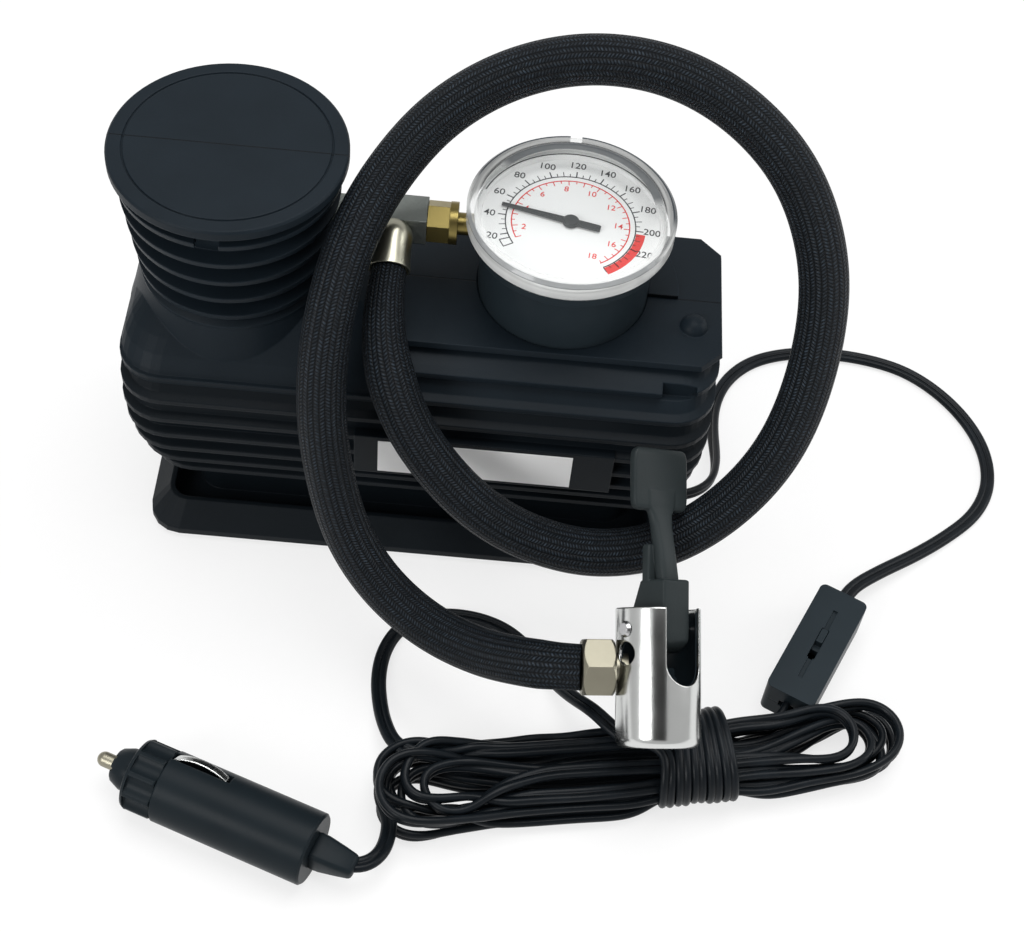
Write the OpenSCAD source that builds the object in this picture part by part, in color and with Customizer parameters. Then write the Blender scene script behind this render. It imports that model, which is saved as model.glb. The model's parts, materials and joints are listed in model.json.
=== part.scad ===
// Portable 12 V tire inflator: a two-half ribbed casing on a flared base, a geared motor that drives
// a single vertical piston under the finned tower, a dial gauge, a braided hose with a thumb-lock
// chuck, and a flat cord with an in-line switch and a socket plug.
// Millimetres, +Z up, X along the casing, Y from front to back, the origin on the table
// under the middle of the casing.

/* [Casing] */
// Length of the casing
body_l = 173; // [165:1:208]
// Width of the casing at its widest level
body_w = 76; // [74:1:92]
// Height of the flat top plate above the table
plate_z = 86.5; // [86:0.5:90]
// Wall thickness of the two casing halves
wall = 2.4; // [1.8:0.1:3]
// Distance between the ribs round the casing
rib_pitch = 7.5; // [6.5:0.1:8.5]
// Depth of the grooves between the ribs
rib_depth = 2.4; // [1.5:0.1:3]
// Radius of the upright corners of the casing
corner_r = 13; // [9:0.5:15]

/* [Tower] */
// Place of the tower's axis along X
tower_x = -55.5; // [-57:0.5:-55]
// Height of the cap's top above the table
tower_top = 132; // [130:1:140]
// Radius of the cap
cap_r = 33; // [31:0.5:36]
// Number of rings under the cap
ring_count = 5; // [3:1:5]
// Distance between the rings
ring_pitch = 8; // [7.5:0.1:8.4]
// Depth of the grooves between the rings
ring_depth = 4.5; // [3:0.1:5]

/* [Base] */
// Length of the base
base_l = 163; // [155:1:196]
// Width of the base
base_w = 80; // [78:1:96]
// Height of the base's sloped rim
rim_z = 12; // [10:0.5:13]
// Height at which the casing sits on the base
seat_z = 22.5; // [22:0.1:23.5]
// Thickness of the rubber feet under the base
foot_h = 1.5; // [1:0.1:2]

/* [Motor and gears] */
// Radius of the motor's can
motor_r = 17; // [15:0.5:17.5]
// Length of the motor's can
motor_l = 48; // [40:1:54]
// Radius of the motor shaft
shaft_r = 1.2; // [1:0.1:1.5]
// Teeth of the motor pinion
pinion_teeth = 11; // [10:1:12]
// Teeth of the drive gear
gear_teeth = 50; // [44:1:50]
// Module of both gears
gear_module = 0.7; // [0.65:0.01:0.72]
// Height of the motor's axis
motor_z = 62; // [60:0.5:63]

/* [Pump] */
// Radius of the crank, half of the stroke
crank_r = 6; // [4:0.5:6.5]
// Distance between the con-rod's two eyes
rod_l = 46; // [45:0.5:46.5]
// Bore of the cylinder
bore = 20; // [17:0.5:20]
// Wall of the cylinder
cylinder_wall = 2.6; // [2:0.1:3.2]

/* [Outlet] */
// Height of the outlet arm's axis
outlet_z = 106.5; // [106:0.5:107]
// Distance of the outlet arm's axis behind the tower's axis
outlet_y = 3; // [2:0.5:4]
// Outer diameter of the braided hose
hose_d = 13.8; // [13:0.1:13.8]
// Distance across the flats of the brass fitting
hex_af = 10.5; // [9:0.5:12]

/* [Gauge] */
// Place of the gauge's axis along X, where it meets the top plate
gauge_x = 39.5; // [38.5:0.5:41]
// Radius of the gauge's cup
cup_r = 24.8; // [23:0.1:25.5]
// Radius of the clear lens
lens_r = 29.5; // [28.5:0.1:31]
// Radius of the dial
dial_r = 26; // [24:0.1:26.2]

/* [Chuck] */
// Diameter of the chuck's barrel
chuck_d = 23.8; // [21:0.1:24]
// Length of the chuck's barrel
chuck_l = 38.5; // [38:0.5:46]

/* [Cord and plug] */
// Width of the flat twin cord
cord_w = 4.6; // [4:0.1:4.8]
// Thickness of the flat twin cord
cord_t = 2.4; // [2:0.1:2.4]
// Diameter of the plug's barrel
plug_d = 21; // [20.5:0.1:21.5]
// Length of the switch housing
switch_l = 42; // [38:1:46]

/* [Clearances] */
// Radial running clearance of a shaft in its bush
run = 0.05; // [0.03:0.01:0.08]
// Gap between fixed parts that are put together
fit_gap = 0.2; // [0.1:0.05:0.3]
// Gap between parts that move past each other
move_gap = 0.4; // [0.3:0.05:0.6]

/* [Hidden] */
$fn = 48;
eps = 0.01;
big = 400;

// ---- Levels of the casing ----
half_l0 = body_l / 2;
half_w0 = body_w / 2;
waist_z = 57;                       // the level where the casing is widest
top_drop = 12.7;                    // how much narrower each side is at the plate
foot_drop = 5.6;                    // how much narrower each side is at the bottom rib
end_drop = 6;                       // how much shorter each end is at the bottom rib
bottom_rib_z = plate_z - 8 * rib_pitch;
plate_t = 2.5;
shoulder_z = plate_z - 2 * rib_pitch - 0.4;
shoulder_end = -12;                 // the smooth shoulder round the tower stops here
plate_cut = 6;                      // size of the plate's cut corners
corner_steps = 7;                   // facets on each upright corner

function sq(v) = v * v;
function level_w(z) = half_w0 - (z > waist_z ? top_drop * sq((z - waist_z) / (plate_z - waist_z))
                                             : foot_drop * sq((waist_z - z) / (waist_z - bottom_rib_z)));
function level_l(z) = half_l0 - (z > waist_z ? 0 : end_drop * sq((waist_z - z) / (waist_z - bottom_rib_z)));

plate_l = level_l(plate_z);
plate_w = level_w(plate_z);

// One rib: the slanted flank up from the groove, the crest and the flank back
function rib_levels(z) = [
    [z - 1.9, level_l(z) - rib_depth, level_w(z) - rib_depth, corner_r - rib_depth],
    [z - 0.9, level_l(z), level_w(z), corner_r],
    [z + 0.9, level_l(z), level_w(z), corner_r],
    [z + 1.9, level_l(z) - rib_depth, level_w(z) - rib_depth, corner_r - rib_depth]];

// ---- Casing interior ----
panel_x = [-17, 59];                // the smooth panel on the front
panel_z = [41.5, 58.5];
panel_y = half_w0 + 0.8;
inner_inset = wall + rib_depth;
neck_l = 68;
neck_w = 24;
neck_t = 2.4;
boss_places = [[50, 71], [50, 33], [-78, 45], [77, 71], [77, 38]];
boss_r = 3.6;
screw_r = 1.5;
head_r = 3;
head_h = 2;
base_screw_y = neck_w - neck_t - 4;
base_screw_places = [for (x = [-56, 56], y = [-base_screw_y, base_screw_y]) [x, y]];
base_post_r = 4.6;
base_boss_h = 8;
saddle_x = [-20, 4];

// ---- Tower ----
function ring_r(z) = cap_r - 0.5 - 0.12 * (tower_top - z);
first_ring_z = tower_top - 39.5;
cap_t = 3;
tower_wall = 2;
vent_w = 6.5;

// ---- Drive ----
pinion_r = gear_module * pinion_teeth / 2;
gear_r = gear_module * gear_teeth / 2;
mesh_gap = 0.25;
gear_z = motor_z - pinion_r - gear_r - mesh_gap;
crank_plane = tower_x;
rod_t = 6;
pin_end = crank_plane + rod_t / 2 + 0.3;    // the crank pin stops 0.3 short of the con-rod
frame_x = -36;
frame_t = 3;
frame_half = plate_w - inner_inset - 1.9;   // the shelf reaches to the casing's sloped walls
gear_t = 6;
gear_x = frame_x - 1 - gear_t;
disc_x = gear_x - 3;
wrist_z = gear_z + crank_r + rod_l;
shelf_z = 75;
piston_below = 5.5;
crown_z = wrist_z + 6;
cylinder_z0 = shelf_z + frame_t;
cylinder_z1 = crown_z + 0.6;
gasket_t = 0.8;
head_z0 = cylinder_z1 + gasket_t;
flange_r = bore / 2 + cylinder_wall + 5;
stud_r = flange_r - 2.6;
block_x = [-15.5, -0.7];
block_w = 10;
block_h = 9;

// ---- Gauge, in its own frame: its axis upright, its zero on the top plate ----
gauge_y = 2;
cup_low = -3;
cup_top = 20.5;
dial_z = 23;
case_rim_z = 26.5;
lens_low = 24.8;
lens_top = 31.2;
bourdon_r = cup_r - 5.2;
bourdon_z = outlet_z - plate_z;

// ---- Chuck, in its own frame: the mouth at the origin, the barrel along +Z, the slot to -Y ----
chuck_at = [76, -118.3, 33];
chuck_turn = [-60, 0, 5];
slot_turn = 33;
nut_z = 22;
pivot_z = chuck_l - 6;

// ---- Cord pieces ----
switch_at = [126.5, -67.1, 0];
switch_turn = 64;
switch_w = 15.5;
switch_h = 13;
switch_cord_z = switch_h / 2;
switch_seam = 6.2;
hank_at = [74, -111, 0];
hank_turn = 11.4;
hank_l = 158;
hank_r = [15.5, 12];                // radii of its left and right ends
hank_waist = [53.6, 10.6];          // drawn in where the switch's corner lies against it
hank_h = 17;
tie_x = [4, 28];                    // the turns that bind it
tie_h = 22.6;
plug_at = [-80, -123.8, plug_d / 2];
plug_turn = -19.7;
plug_roll = -32;                    // turns the two side contacts off the table

// The hose from its ferrule, round the loop that leans on the outlet arm, to the chuck
hose_route = [
    [-8, -13.5, 103.2], [-8, -21.5, 100.3], [-7, -31, 95], [-4, -40, 86.5], [1.5, -47, 75], [10, -52.5, 63],
    [21, -57, 53], [35, -60.5, 46.5], [54, -63, 44.5], [73, -61.5, 49], [90, -55.5, 60.5], [103, -45.5, 77],
    [109.5, -31, 97], [109, -15, 119], [99.5, -0.5, 137.5], [84, 10.5, 149], [64, 18.5, 155],
    [41.5, 21.5, 155], [20, 19.5, 149], [1.5, 12, 139], [-12, -1.5, 127.5], [-20, -17.5, 117.5],
    [-24.5, -35, 103], [-25, -48.5, 84], [-21.5, -58.5, 64], [-15, -67, 47.5], [-4.5, -75, 35.5],
    [10, -83.5, 29.5], [25, -91.4, 31.5], [36, -97.3, 38], [44.2, -100.7, 42.7], [53, -101.2, 44]];

// The flat cord, from the grommet to the switch
cord_route = [
    [73, -20, 17], [81, -20, 17], [88, -18.5, 17.6], [93, -13.5, 16.5], [95.5, -5, 13.5], [96, 6, 9.2],
    [96, 18, 5], [97, 30, 2.2], [101, 41.5, 1.3], [109.5, 51, 1.3], [122, 56.5, 1.3], [136, 58.3, 1.3],
    [150, 57.3, 1.3], [163, 53.5, 1.3], [174, 45.5, 1.3], [183, 34, 1.3], [188, 21, 1.3], [188, 7, 1.3],
    [182.5, -5, 1.3], [172, -15.5, 1.5], [160.5, -25, 3], [148.5, -34, 5.2], [138.5, -42.6, 6.5],
    [135.3, -49.1, 6.5]];

// The short run from the switch into the hank
lead_route = [[117.7, -85.1, 6.5], [114.4, -91.8, 6.5]];

// The loose loop that leaves the hank and goes back over it, under the chuck
loop_route = [
    [4, -112, 9], [-0.5, -104, 6], [-3, -95, 2.6], [-4.5, -85, 1.3], [-3.5, -75, 1.3], [1, -66.5, 1.3],
    [10, -61.8, 1.3], [22, -61.3, 1.3], [33, -65, 1.3], [41.5, -73, 1.6], [47.5, -82.5, 4.5],
    [53, -91.5, 11], [59.5, -100, 18], [67.5, -107.5, 18.5], [77.8, -113, 18.5]];

// The end that leaves the hank for the plug
tail_route = [[3.5, -132, 6], [3.6, -139, 7], [2.6, -145, 9], [-0.8, -149.5, 10.4], [-4.7, -150.8, 10.5],
              [-8, -149.6, 10.5]];

// ---- Shared helpers ----
// Outline of one level: a rounded rectangle, counter-clockwise, n steps to a corner
function outline(hl, hw, r, n) = [
    for (k = [0 : 3], i = [0 : n])
        let (a = 90 * k + 90 * i / n, sx = (k == 0 || k == 3) ? 1 : -1, sy = k < 2 ? 1 : -1)
        [sx * (hl - r) + r * cos(a), sy * (hw - r) + r * sin(a)]];

// Skin over rings of points that all have the same count, closed at both ends
module skin(rings) {
    n = len(rings[0]);
    m = len(rings);
    polyhedron(
        points = [for (ring = rings, p = ring) p],
        faces = concat(
            [[for (j = [0 : n - 1]) j]],
            [[for (j = [n - 1 : -1 : 0]) (m - 1) * n + j]],
            [for (i = [0 : m - 2], j = [0 : n - 1]) [i * n + j, (i + 1) * n + j, (i + 1) * n + (j + 1) % n]],
            [for (i = [0 : m - 2], j = [0 : n - 1]) [i * n + j, (i + 1) * n + (j + 1) % n, i * n + (j + 1) % n]]));
}

// Solid through levels, each given as [z, half length, half width, corner radius]
module levels_solid(levels, n = 4) {
    skin([for (v = levels) [for (p = outline(v[1], v[2], v[3], n)) [p[0], p[1], v[0]]]]);
}

// Exact rounded rectangle
module round_rect(l, w, r) {
    square([l - 2 * r, w], center = true);
    square([l, w - 2 * r], center = true);
    for (sx = [-1, 1], sy = [-1, 1])
        translate([sx * (l / 2 - r), sy * (w / 2 - r)]) circle(r);
}

module x_cyl(x0, x1, r, r2 = undef) {
    translate([x0, 0, 0]) rotate([0, 90, 0]) cylinder(h = x1 - x0, r1 = r, r2 = is_undef(r2) ? r : r2);
}

module y_cyl(y0, y1, r) {
    translate([0, y0, 0]) rotate([-90, 0, 0]) cylinder(h = y1 - y0, r = r);
}

module tube(h, r_out, r_in) {
    difference() {
        cylinder(h = h, r = r_out);
        translate([0, 0, -1]) cylinder(h = h + 2, r = r_in);
    }
}

// Radius that puts the flats of a hexagon the given distance apart
function hex_r(af) = af / sqrt(3);

// ---- Swept cords ----
function unit(v) = v / norm(v);
function along(p, i) = unit(p[min(i + 1, len(p) - 1)] - p[max(i - 1, 0)]);
function carried(p, i, side) = let (t = along(p, i)) unit(side - t * (side * t));
function sides(p, i = 0, side = [0, 0, 1]) =
    i == len(p) ? [] : let (s = carried(p, i, side)) concat([s], sides(p, i + 1, s));

// Round hose: one ring at each point of its route, radii[i] wide
module swept_round(p, radii, n) {
    s = sides(p);
    skin([for (i = [0 : len(p) - 1]) let (t = along(p, i), u = s[i], v = cross(t, u))
        [for (k = [0 : n - 1]) p[i] + radii[i] * (u * cos(360 * k / n) + v * sin(360 * k / n))]]);
}

// Flat cord: eight sides, its width kept level
module swept_flat(p, w, t) {
    shape = [[w / 2, -t / 5], [w / 2, t / 5], [w / 3, t / 2], [-w / 3, t / 2],
             [-w / 2, t / 5], [-w / 2, -t / 5], [-w / 3, -t / 2], [w / 3, -t / 2]];
    skin([for (i = [0 : len(p) - 1]) let (d = along(p, i), side = unit(cross(d, [0, 0, 1])), up = cross(side, d))
        [for (q = shape) p[i] + side * q[0] + up * q[1]]]);
}

// ---- Casing ----
module casing_outside() {
    difference() {
        levels_solid(concat(
            [[seat_z, neck_l + 2, neck_w + 2, 8],
             [seat_z + 0.6, level_l(bottom_rib_z) - 5, level_w(bottom_rib_z) - 5, corner_r - 5]],
            [for (i = [0 : 7]) each rib_levels(bottom_rib_z + i * rib_pitch)],
            [[plate_z - plate_t - 1, plate_l - rib_depth, plate_w - rib_depth, corner_r - rib_depth],
             [plate_z - 1, plate_l - rib_depth - 1, plate_w - rib_depth - 1, corner_r - rib_depth]]),
            corner_steps);
        translate([shoulder_end - big, -big / 2, shoulder_z + 1]) cube(big);
    }
    top_plate();
    shoulder();
    tower_outside();
}

// The flat slab behind the shoulder, its corners cut off straight
module top_plate() {
    span = (half_l0 - shoulder_end) / 2;
    translate([half_l0 - span, 0, 0]) levels_solid([
        [plate_z - plate_t - 1, span - rib_depth, plate_w - rib_depth, plate_cut],
        [plate_z - plate_t + 0.6, span, plate_w, plate_cut],
        [plate_z, span - 0.4, plate_w - 0.4, plate_cut]], 1);
}

// The smooth shoulder that carries the tower, with the bulge under its front and back
module shoulder() {
    run_end = shoulder_end + 14;
    span = (run_end + half_l0) / 2;
    w = level_w(shoulder_z);
    top = [[0, 0, 0], [3, 0.4, 2.2], [6, 1.2, 5.2], [9, 2.8, 9.2], [12, 5.4, 14], [14.5, 9, 18.6],
           [16.4, 13.5, 23]];
    intersection() {
        translate([run_end - span, 0, 0])
            levels_solid([for (v = top) [shoulder_z + v[0] - 1, span - v[1], w - v[2], corner_r - v[1] / 3]],
                         corner_steps);
        translate([shoulder_end - big + 0.5, -big / 2, 0]) cube(big);
    }
    translate([tower_x, 0, shoulder_z - 1])
        cylinder(h = plate_z - shoulder_z + 2, r1 = level_w(shoulder_z) - 3.4, r2 = ring_r(plate_z) - 0.3);
}

module tower_outside() {
    low_z = plate_z - 1;
    profile = concat(
        [[0, low_z], [ring_r(low_z), low_z], [ring_r(plate_z + 1.2), plate_z + 1.2]],
        [for (i = [0 : ring_count - 1]) let (z = first_ring_z + i * ring_pitch, r = ring_r(z)) each [
            [r - ring_depth, z - 1.9], [r - 0.3, z - 1.1], [r, z + 0.7], [r - ring_depth, z + 1.5]]],
        [[ring_r(tower_top) - ring_depth, tower_top - cap_t - 0.6], [cap_r, tower_top - cap_t],
         [cap_r, tower_top - 0.6], [cap_r - 0.6, tower_top], [0, tower_top]]);
    translate([tower_x, 0, 0]) rotate_extrude($fn = 96) polygon(profile);
}

module casing_inside() {
    levels_solid([
        [seat_z - 1, neck_l - neck_t, neck_w - neck_t, 6],
        [seat_z + wall, neck_l - neck_t, neck_w - neck_t, 6],
        [seat_z + wall + 0.4, level_l(bottom_rib_z) - inner_inset, level_w(bottom_rib_z) - inner_inset, 8],
        [40, level_l(40) - inner_inset, level_w(40) - inner_inset, 8],
        [waist_z, level_l(waist_z) - inner_inset, level_w(waist_z) - inner_inset, 8],
        [shoulder_z - 3, level_l(shoulder_z) - inner_inset, level_w(shoulder_z) - inner_inset - 1, 8],
        [plate_z - plate_t - 4, level_l(plate_z) - inner_inset - 4, level_w(plate_z) - inner_inset - 2, 5]], 2);
    tower_bore();
}

// The room for the cylinder inside the tower
module tower_bore() {
    z0 = shoulder_z + 2;
    translate([tower_x, 0, z0])
        cylinder(h = tower_top - cap_t - z0, r1 = ring_r(plate_z) - ring_depth - tower_wall,
                 r2 = ring_r(tower_top) - ring_depth - tower_wall);
}

// Openings that cut both halves: the outlet slot, the gauge's seat, the vent, the cap's ring line
// and the finger notch in the top groove
module casing_cuts() {
    translate([tower_x + 15, outlet_y - block_w / 2 - 0.6, outlet_z - block_h / 2 - 0.6])
        cube([25, block_w + 1.2, block_h + 1.2]);
    gauge_place() translate([0, 0, cup_low - 0.05]) cylinder(h = 20, r = cup_r + fit_gap);
    translate([tower_x - 1.5 - vent_w / 2, -cap_r - 1, first_ring_z + (ring_count - 1) * ring_pitch - 2.2])
        cube([vent_w, ring_depth + 2.2, 4]);
    translate([tower_x, 0, tower_top - 0.5]) tube(1, 28.8, 28.1);
    translate([70, -half_w0, plate_z - 10.5]) cube([10, half_w0 - 27.6, 7.4]);
}

module boss_holes() {
    for (b = boss_places) translate([b[0], 0, b[1]]) {
        y_cyl(-level_w(b[1]) + 8, level_w(b[1]) - 6, screw_r + 0.05);
        y_cyl(-eps, big, screw_r + 0.5);
        y_cyl(level_w(b[1]) - 6, big, head_r + 0.5);
    }
}

module bosses() {
    for (b = boss_places) translate([b[0], 0, b[1]])
        y_cyl(-level_w(b[1]) + 2, level_w(b[1]) - 2, b[1] > 60 ? boss_r : boss_r + 0.4);
}

module casing_half(side) {
    difference() {
        intersection() {
            union() {
                difference() {
                    union() {
                        casing_outside();
                        if (side < 0) front_details();
                        if (side > 0) rear_details();
                    }
                    casing_inside();
                }
                intersection() {
                    union() {
                        bosses();
                        motor_saddles();
                        base_bosses();
                    }
                    casing_outside();
                }
            }
            translate([-big / 2, side < 0 ? -big / 2 : 0, 0]) cube([big, big / 2, big]);
        }
        casing_cuts();
        boss_holes();
        for (s = base_screw_places) translate([s[0], s[1], seat_z - 1])
            cylinder(h = base_boss_h, r = screw_r + 0.05);
    }
}

// Webs that clasp the motor's can from both sides
module motor_saddles() {
    for (x = saddle_x) difference() {
        translate([x, -half_w0, motor_z - 11]) cube([2.4, body_w, 22]);
        translate([0, 0, motor_z]) x_cyl(x - 1, x + 4, motor_r + fit_gap);
    }
}

// Bosses that take the base screws, on the rim of the casing's floor
module base_bosses() {
    for (s = base_screw_places) translate([s[0], s[1], seat_z]) cylinder(h = base_boss_h, r = base_post_r);
}

module front_details() {
    translate([panel_x[0], -panel_y, panel_z[0]])
        cube([panel_x[1] - panel_x[0], panel_y - level_w(waist_z) + rib_depth + 1, panel_z[1] - panel_z[0]]);
    translate([78, -10, plate_z - 0.6]) scale([1, 1, 0.9]) sphere(r = 4.2, $fn = 32);
}

// The low raised pad beside the gauge and the cord's outlet boss
module rear_details() {
    intersection() {
        translate([gauge_x, gauge_y, plate_z - 1]) tube(2.2, cup_r + 9, cup_r - 1);
        translate([gauge_x + 12, 0, plate_z - 2]) cube([30, 18, 6]);
    }
}

module front_shell() {
    color([0.06, 0.06, 0.065]) casing_half(-1);
}

module rear_shell() {
    color([0.06, 0.06, 0.065]) casing_half(1);
}

// ---- Base ----
foot_places = [[-68, -28], [68, -28], [-68, 28], [68, 28]];
grommet_y = -20;
grommet_z = 17;

module base_tray() {
    bl = base_l / 2;
    bw = base_w / 2;
    color([0.07, 0.07, 0.075]) difference() {
        union() {
            difference() {
                levels_solid([
                    [foot_h, bl - 0.5, bw - 0.5, 9.5], [foot_h + 0.5, bl, bw, 10], [foot_h + 3, bl, bw, 10],
                    [rim_z, bl - 6, bw - 6, 6], [rim_z, bl - 6.8, bw - 6.8, 5.5]]);
                translate([0, 0, foot_h + 4])
                    linear_extrude(rim_z) round_rect(2 * bl - 15, 2 * bw - 15, 5);
            }
            difference() {
                translate([0, 0, foot_h + 1]) linear_extrude(seat_z - foot_h - 1 - 0.02)
                    round_rect(2 * neck_l, 2 * neck_w, 8);
                translate([0, 0, foot_h + 3]) linear_extrude(seat_z)
                    round_rect(2 * (neck_l - neck_t), 2 * (neck_w - neck_t), 6);
            }
            for (s = base_screw_places) translate([s[0], s[1], foot_h + 2])
                cylinder(h = seat_z - foot_h - 2.02, r = base_post_r);
        }
        for (f = foot_places) translate([f[0], f[1], foot_h - 1]) cylinder(h = 2.2, r = 5 + fit_gap);
        for (s = base_screw_places) translate([s[0], s[1], 0]) {
            cylinder(h = seat_z + 1, r = screw_r + 0.1);
            cylinder(h = foot_h + 1.8, r = head_r + 0.3);
        }
        translate([neck_l - 5, grommet_y, grommet_z]) x_cyl(0, 12, 3.6 + fit_gap);
    }
}

module rubber_feet() {
    color([0.03, 0.03, 0.03]) for (f = foot_places) translate([f[0], f[1], 0]) {
        cylinder(h = foot_h + 1.1, r = 5);
        translate([0, 0, 0.4]) cylinder(h = foot_h - 0.5, r = 6.2);
    }
}

// Screws that hold the casing halves together, put in from the back
module shell_screws() {
    color([0.55, 0.55, 0.57]) for (b = boss_places) translate([b[0], 0, b[1]]) {
        seat_y = level_w(b[1]) - 6;
        y_cyl(-level_w(b[1]) + 9, seat_y + 0.5, screw_r);
        difference() {
            y_cyl(seat_y + 0.05, seat_y + head_h, head_r);
            for (turn = [0, 90]) rotate([0, turn, 0])
                translate([-0.5, seat_y + head_h - 1, -2]) cube([1, 2, 4]);
        }
    }
}

// Long screws from below, through the posts in the neck into the casing's floor
module base_screws() {
    color([0.55, 0.55, 0.57]) for (s = base_screw_places) translate([s[0], s[1], foot_h - 0.3]) {
        difference() {
            cylinder(h = head_h, r = head_r);
            for (turn = [0, 90]) rotate(turn) translate([-0.5, -2, -1]) cube([1, 4, 1.9]);
        }
        translate([0, 0, 1]) cylinder(h = seat_z + base_boss_h - foot_h - 2.5, r = screw_r);
    }
}

module cord_grommet() {
    color([0.03, 0.03, 0.03]) translate([0, grommet_y, grommet_z]) difference() {
        union() {
            x_cyl(neck_l - neck_t - 1.4, neck_l + 0.6, 3.6);
            x_cyl(neck_l + 0.2, neck_l + 1.8, 5);
            x_cyl(neck_l + 1.8, neck_l + 9, 4.2, 3);
        }
        translate([neck_l - 10, -cord_w / 2 - 0.1, -cord_t / 2 - 0.1]) cube([30, cord_w + 0.2, cord_t + 0.2]);
    }
}

// ---- Motor ----
motor_x0 = frame_x + frame_t + 0.1;
motor_x1 = motor_x0 + motor_l;
can_t = 1;
front_boss = 5;

module motor_can() {
    color([0.62, 0.63, 0.65]) translate([0, 0, motor_z]) difference() {
        x_cyl(motor_x0, motor_x1, motor_r);
        x_cyl(motor_x0 + can_t, motor_x1 + 1, motor_r - can_t);
        x_cyl(motor_x0 - 1, motor_x0 + 3, front_boss - 2);
        for (side = [-1, 1]) translate([0, side * 9, 0]) x_cyl(motor_x0 - 1, motor_x0 + 3, 1.25);
    }
}

module motor_magnets() {
    r_out = motor_r - can_t - 0.08;
    color([0.2, 0.2, 0.21]) translate([motor_x0 + 10, 0, motor_z]) rotate([0, 90, 0])
        for (turn = [0, 180]) rotate(turn) intersection() {
            tube(26, r_out, r_out - 3.5);
            translate([2, -10, -1]) cube([20, 20, 28]);
        }
}

module motor_end_cap() {
    color([0.1, 0.1, 0.11]) translate([0, 0, motor_z]) difference() {
        union() {
            x_cyl(motor_x1 - 2.5, motor_x1 + 2, motor_r - can_t - 0.05);
            x_cyl(motor_x1 + 2, motor_x1 + 4.5, 5);
            for (side = [-1, 1]) translate([motor_x1 - 9, side * 9 - 2.6, -3]) cube([8, 5.2, 6]);
        }
        x_cyl(motor_x1 - 4, motor_x1 + 4, shaft_r + run);
        for (side = [-1, 1]) translate([motor_x1 - 8, side > 0 ? 4.3 : -11.3, -2]) cube([6, 7, 4]);
    }
}

module brushes() {
    color([0.15, 0.13, 0.12]) translate([motor_x1 - 8, 0, motor_z]) for (side = [-1, 1])
        translate([0.1, side > 0 ? 4.6 : -10.6, -1.9]) cube([5.8, 6, 3.8]);
}

// Laminated core with five poles, commutator and shaft
module armature() {
    poles = 5;
    core_x = motor_x0 + 10;
    core_l = 24;
    color([0.5, 0.42, 0.3]) translate([0, 0, motor_z]) {
        x_cyl(gear_x - 0.6, motor_x1 + 3.6, shaft_r);
        translate([core_x, 0, 0]) rotate([0, 90, 0]) difference() {
            cylinder(h = core_l, r = motor_r - can_t - 4.1);
            for (k = [0 : poles - 1]) rotate(k * 360 / poles + 36) {
                translate([5, -2.6, -1]) cube([4.6, 5.2, core_l + 2]);
                translate([9, -0.8, -1]) cube([5, 1.6, core_l + 2]);
            }
            translate([0, 0, -1]) cylinder(h = core_l + 2, r = shaft_r - 0.05);
        }
        x_cyl(motor_x1 - 9.5, motor_x1 - 3.4, 4.4);
        x_cyl(core_x + core_l - 0.1, motor_x1 - 9.4, 2.4);
    }
}

// ---- Gears: straight flanked teeth on a true cylinder ----
module gear_teeth_2d(teeth, r_pitch, addendum, dedendum) {
    for (k = [0 : teeth - 1]) rotate(k * 360 / teeth)
        polygon([[r_pitch - dedendum, -0.8 * gear_module], [r_pitch + addendum, -0.38 * gear_module],
                 [r_pitch + addendum, 0.38 * gear_module], [r_pitch - dedendum, 0.8 * gear_module]]);
}

module spur(teeth, r_pitch, t) {
    root = 1.1 * gear_module;
    linear_extrude(t) {
        circle(r_pitch - root + 0.1);
        gear_teeth_2d(teeth, r_pitch, 0.75 * gear_module, root);
    }
}

module motor_pinion() {
    color([0.8, 0.65, 0.3]) translate([gear_x, 0, motor_z]) difference() {
        rotate([0, 90, 0]) rotate(180 / pinion_teeth) spur(pinion_teeth, pinion_r, gear_t - 0.2);
        x_cyl(-1, gear_t + 1, shaft_r + 0.01);
    }
}

module motor_screws() {
    color([0.55, 0.55, 0.57]) translate([0, 0, motor_z]) for (side = [-1, 1]) translate([0, side * 9, 0]) {
        x_cyl(frame_x - 1.7, frame_x - 0.05, 1.9);
        x_cyl(frame_x - 0.2, motor_x0 + can_t + 1, 1.15);
    }
}

// ---- Frame of the pump ----
module gear_frame() {
    half = frame_half;
    color([0.6, 0.6, 0.62]) difference() {
        union() {
            translate([frame_x, -half, gear_z - 14]) cube([frame_t, 2 * half, shelf_z + frame_t - gear_z + 14]);
            translate([tower_x - half, -half, shelf_z]) cube([frame_x + frame_t - tower_x + half, 2 * half, frame_t]);
            for (side = [-1, 1]) translate([frame_x - 10, side * (half - 1) - 1, 0]) rotate([90, 0, 90])
                linear_extrude(11) translate([0, shelf_z - 10]) square([2, 10.5]);
            translate([0, 0, gear_z]) x_cyl(frame_x - 0.6, frame_x + 0.5, 5);
        }
        translate([0, 0, motor_z]) {
            x_cyl(frame_x - 2, frame_x + 5, front_boss);
            for (side = [-1, 1]) translate([0, side * 9, 0]) x_cyl(frame_x - 2, frame_x + 5, 1.25);
        }
        translate([0, 0, gear_z]) x_cyl(frame_x - 2, frame_x + 5, axle_r + 0.01);
        translate([tower_x, 0, shelf_z - 1]) cylinder(h = 5, r = bore / 2 + 0.4);
        for (k = [0 : 3]) translate([tower_x, 0, shelf_z - 1]) rotate(45 + 90 * k)
            translate([stud_r, 0, 0]) cylinder(h = 5, r = screw_r + 0.05);
    }
}

axle_r = 2.5;

module gear_axle() {
    color([0.7, 0.7, 0.72]) translate([0, 0, gear_z]) {
        x_cyl(gear_x - 1, frame_x + frame_t + 0.5, axle_r);
        x_cyl(frame_x + frame_t + 0.02, frame_x + frame_t + 1.2, axle_r + 1.3);
    }
}

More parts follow.
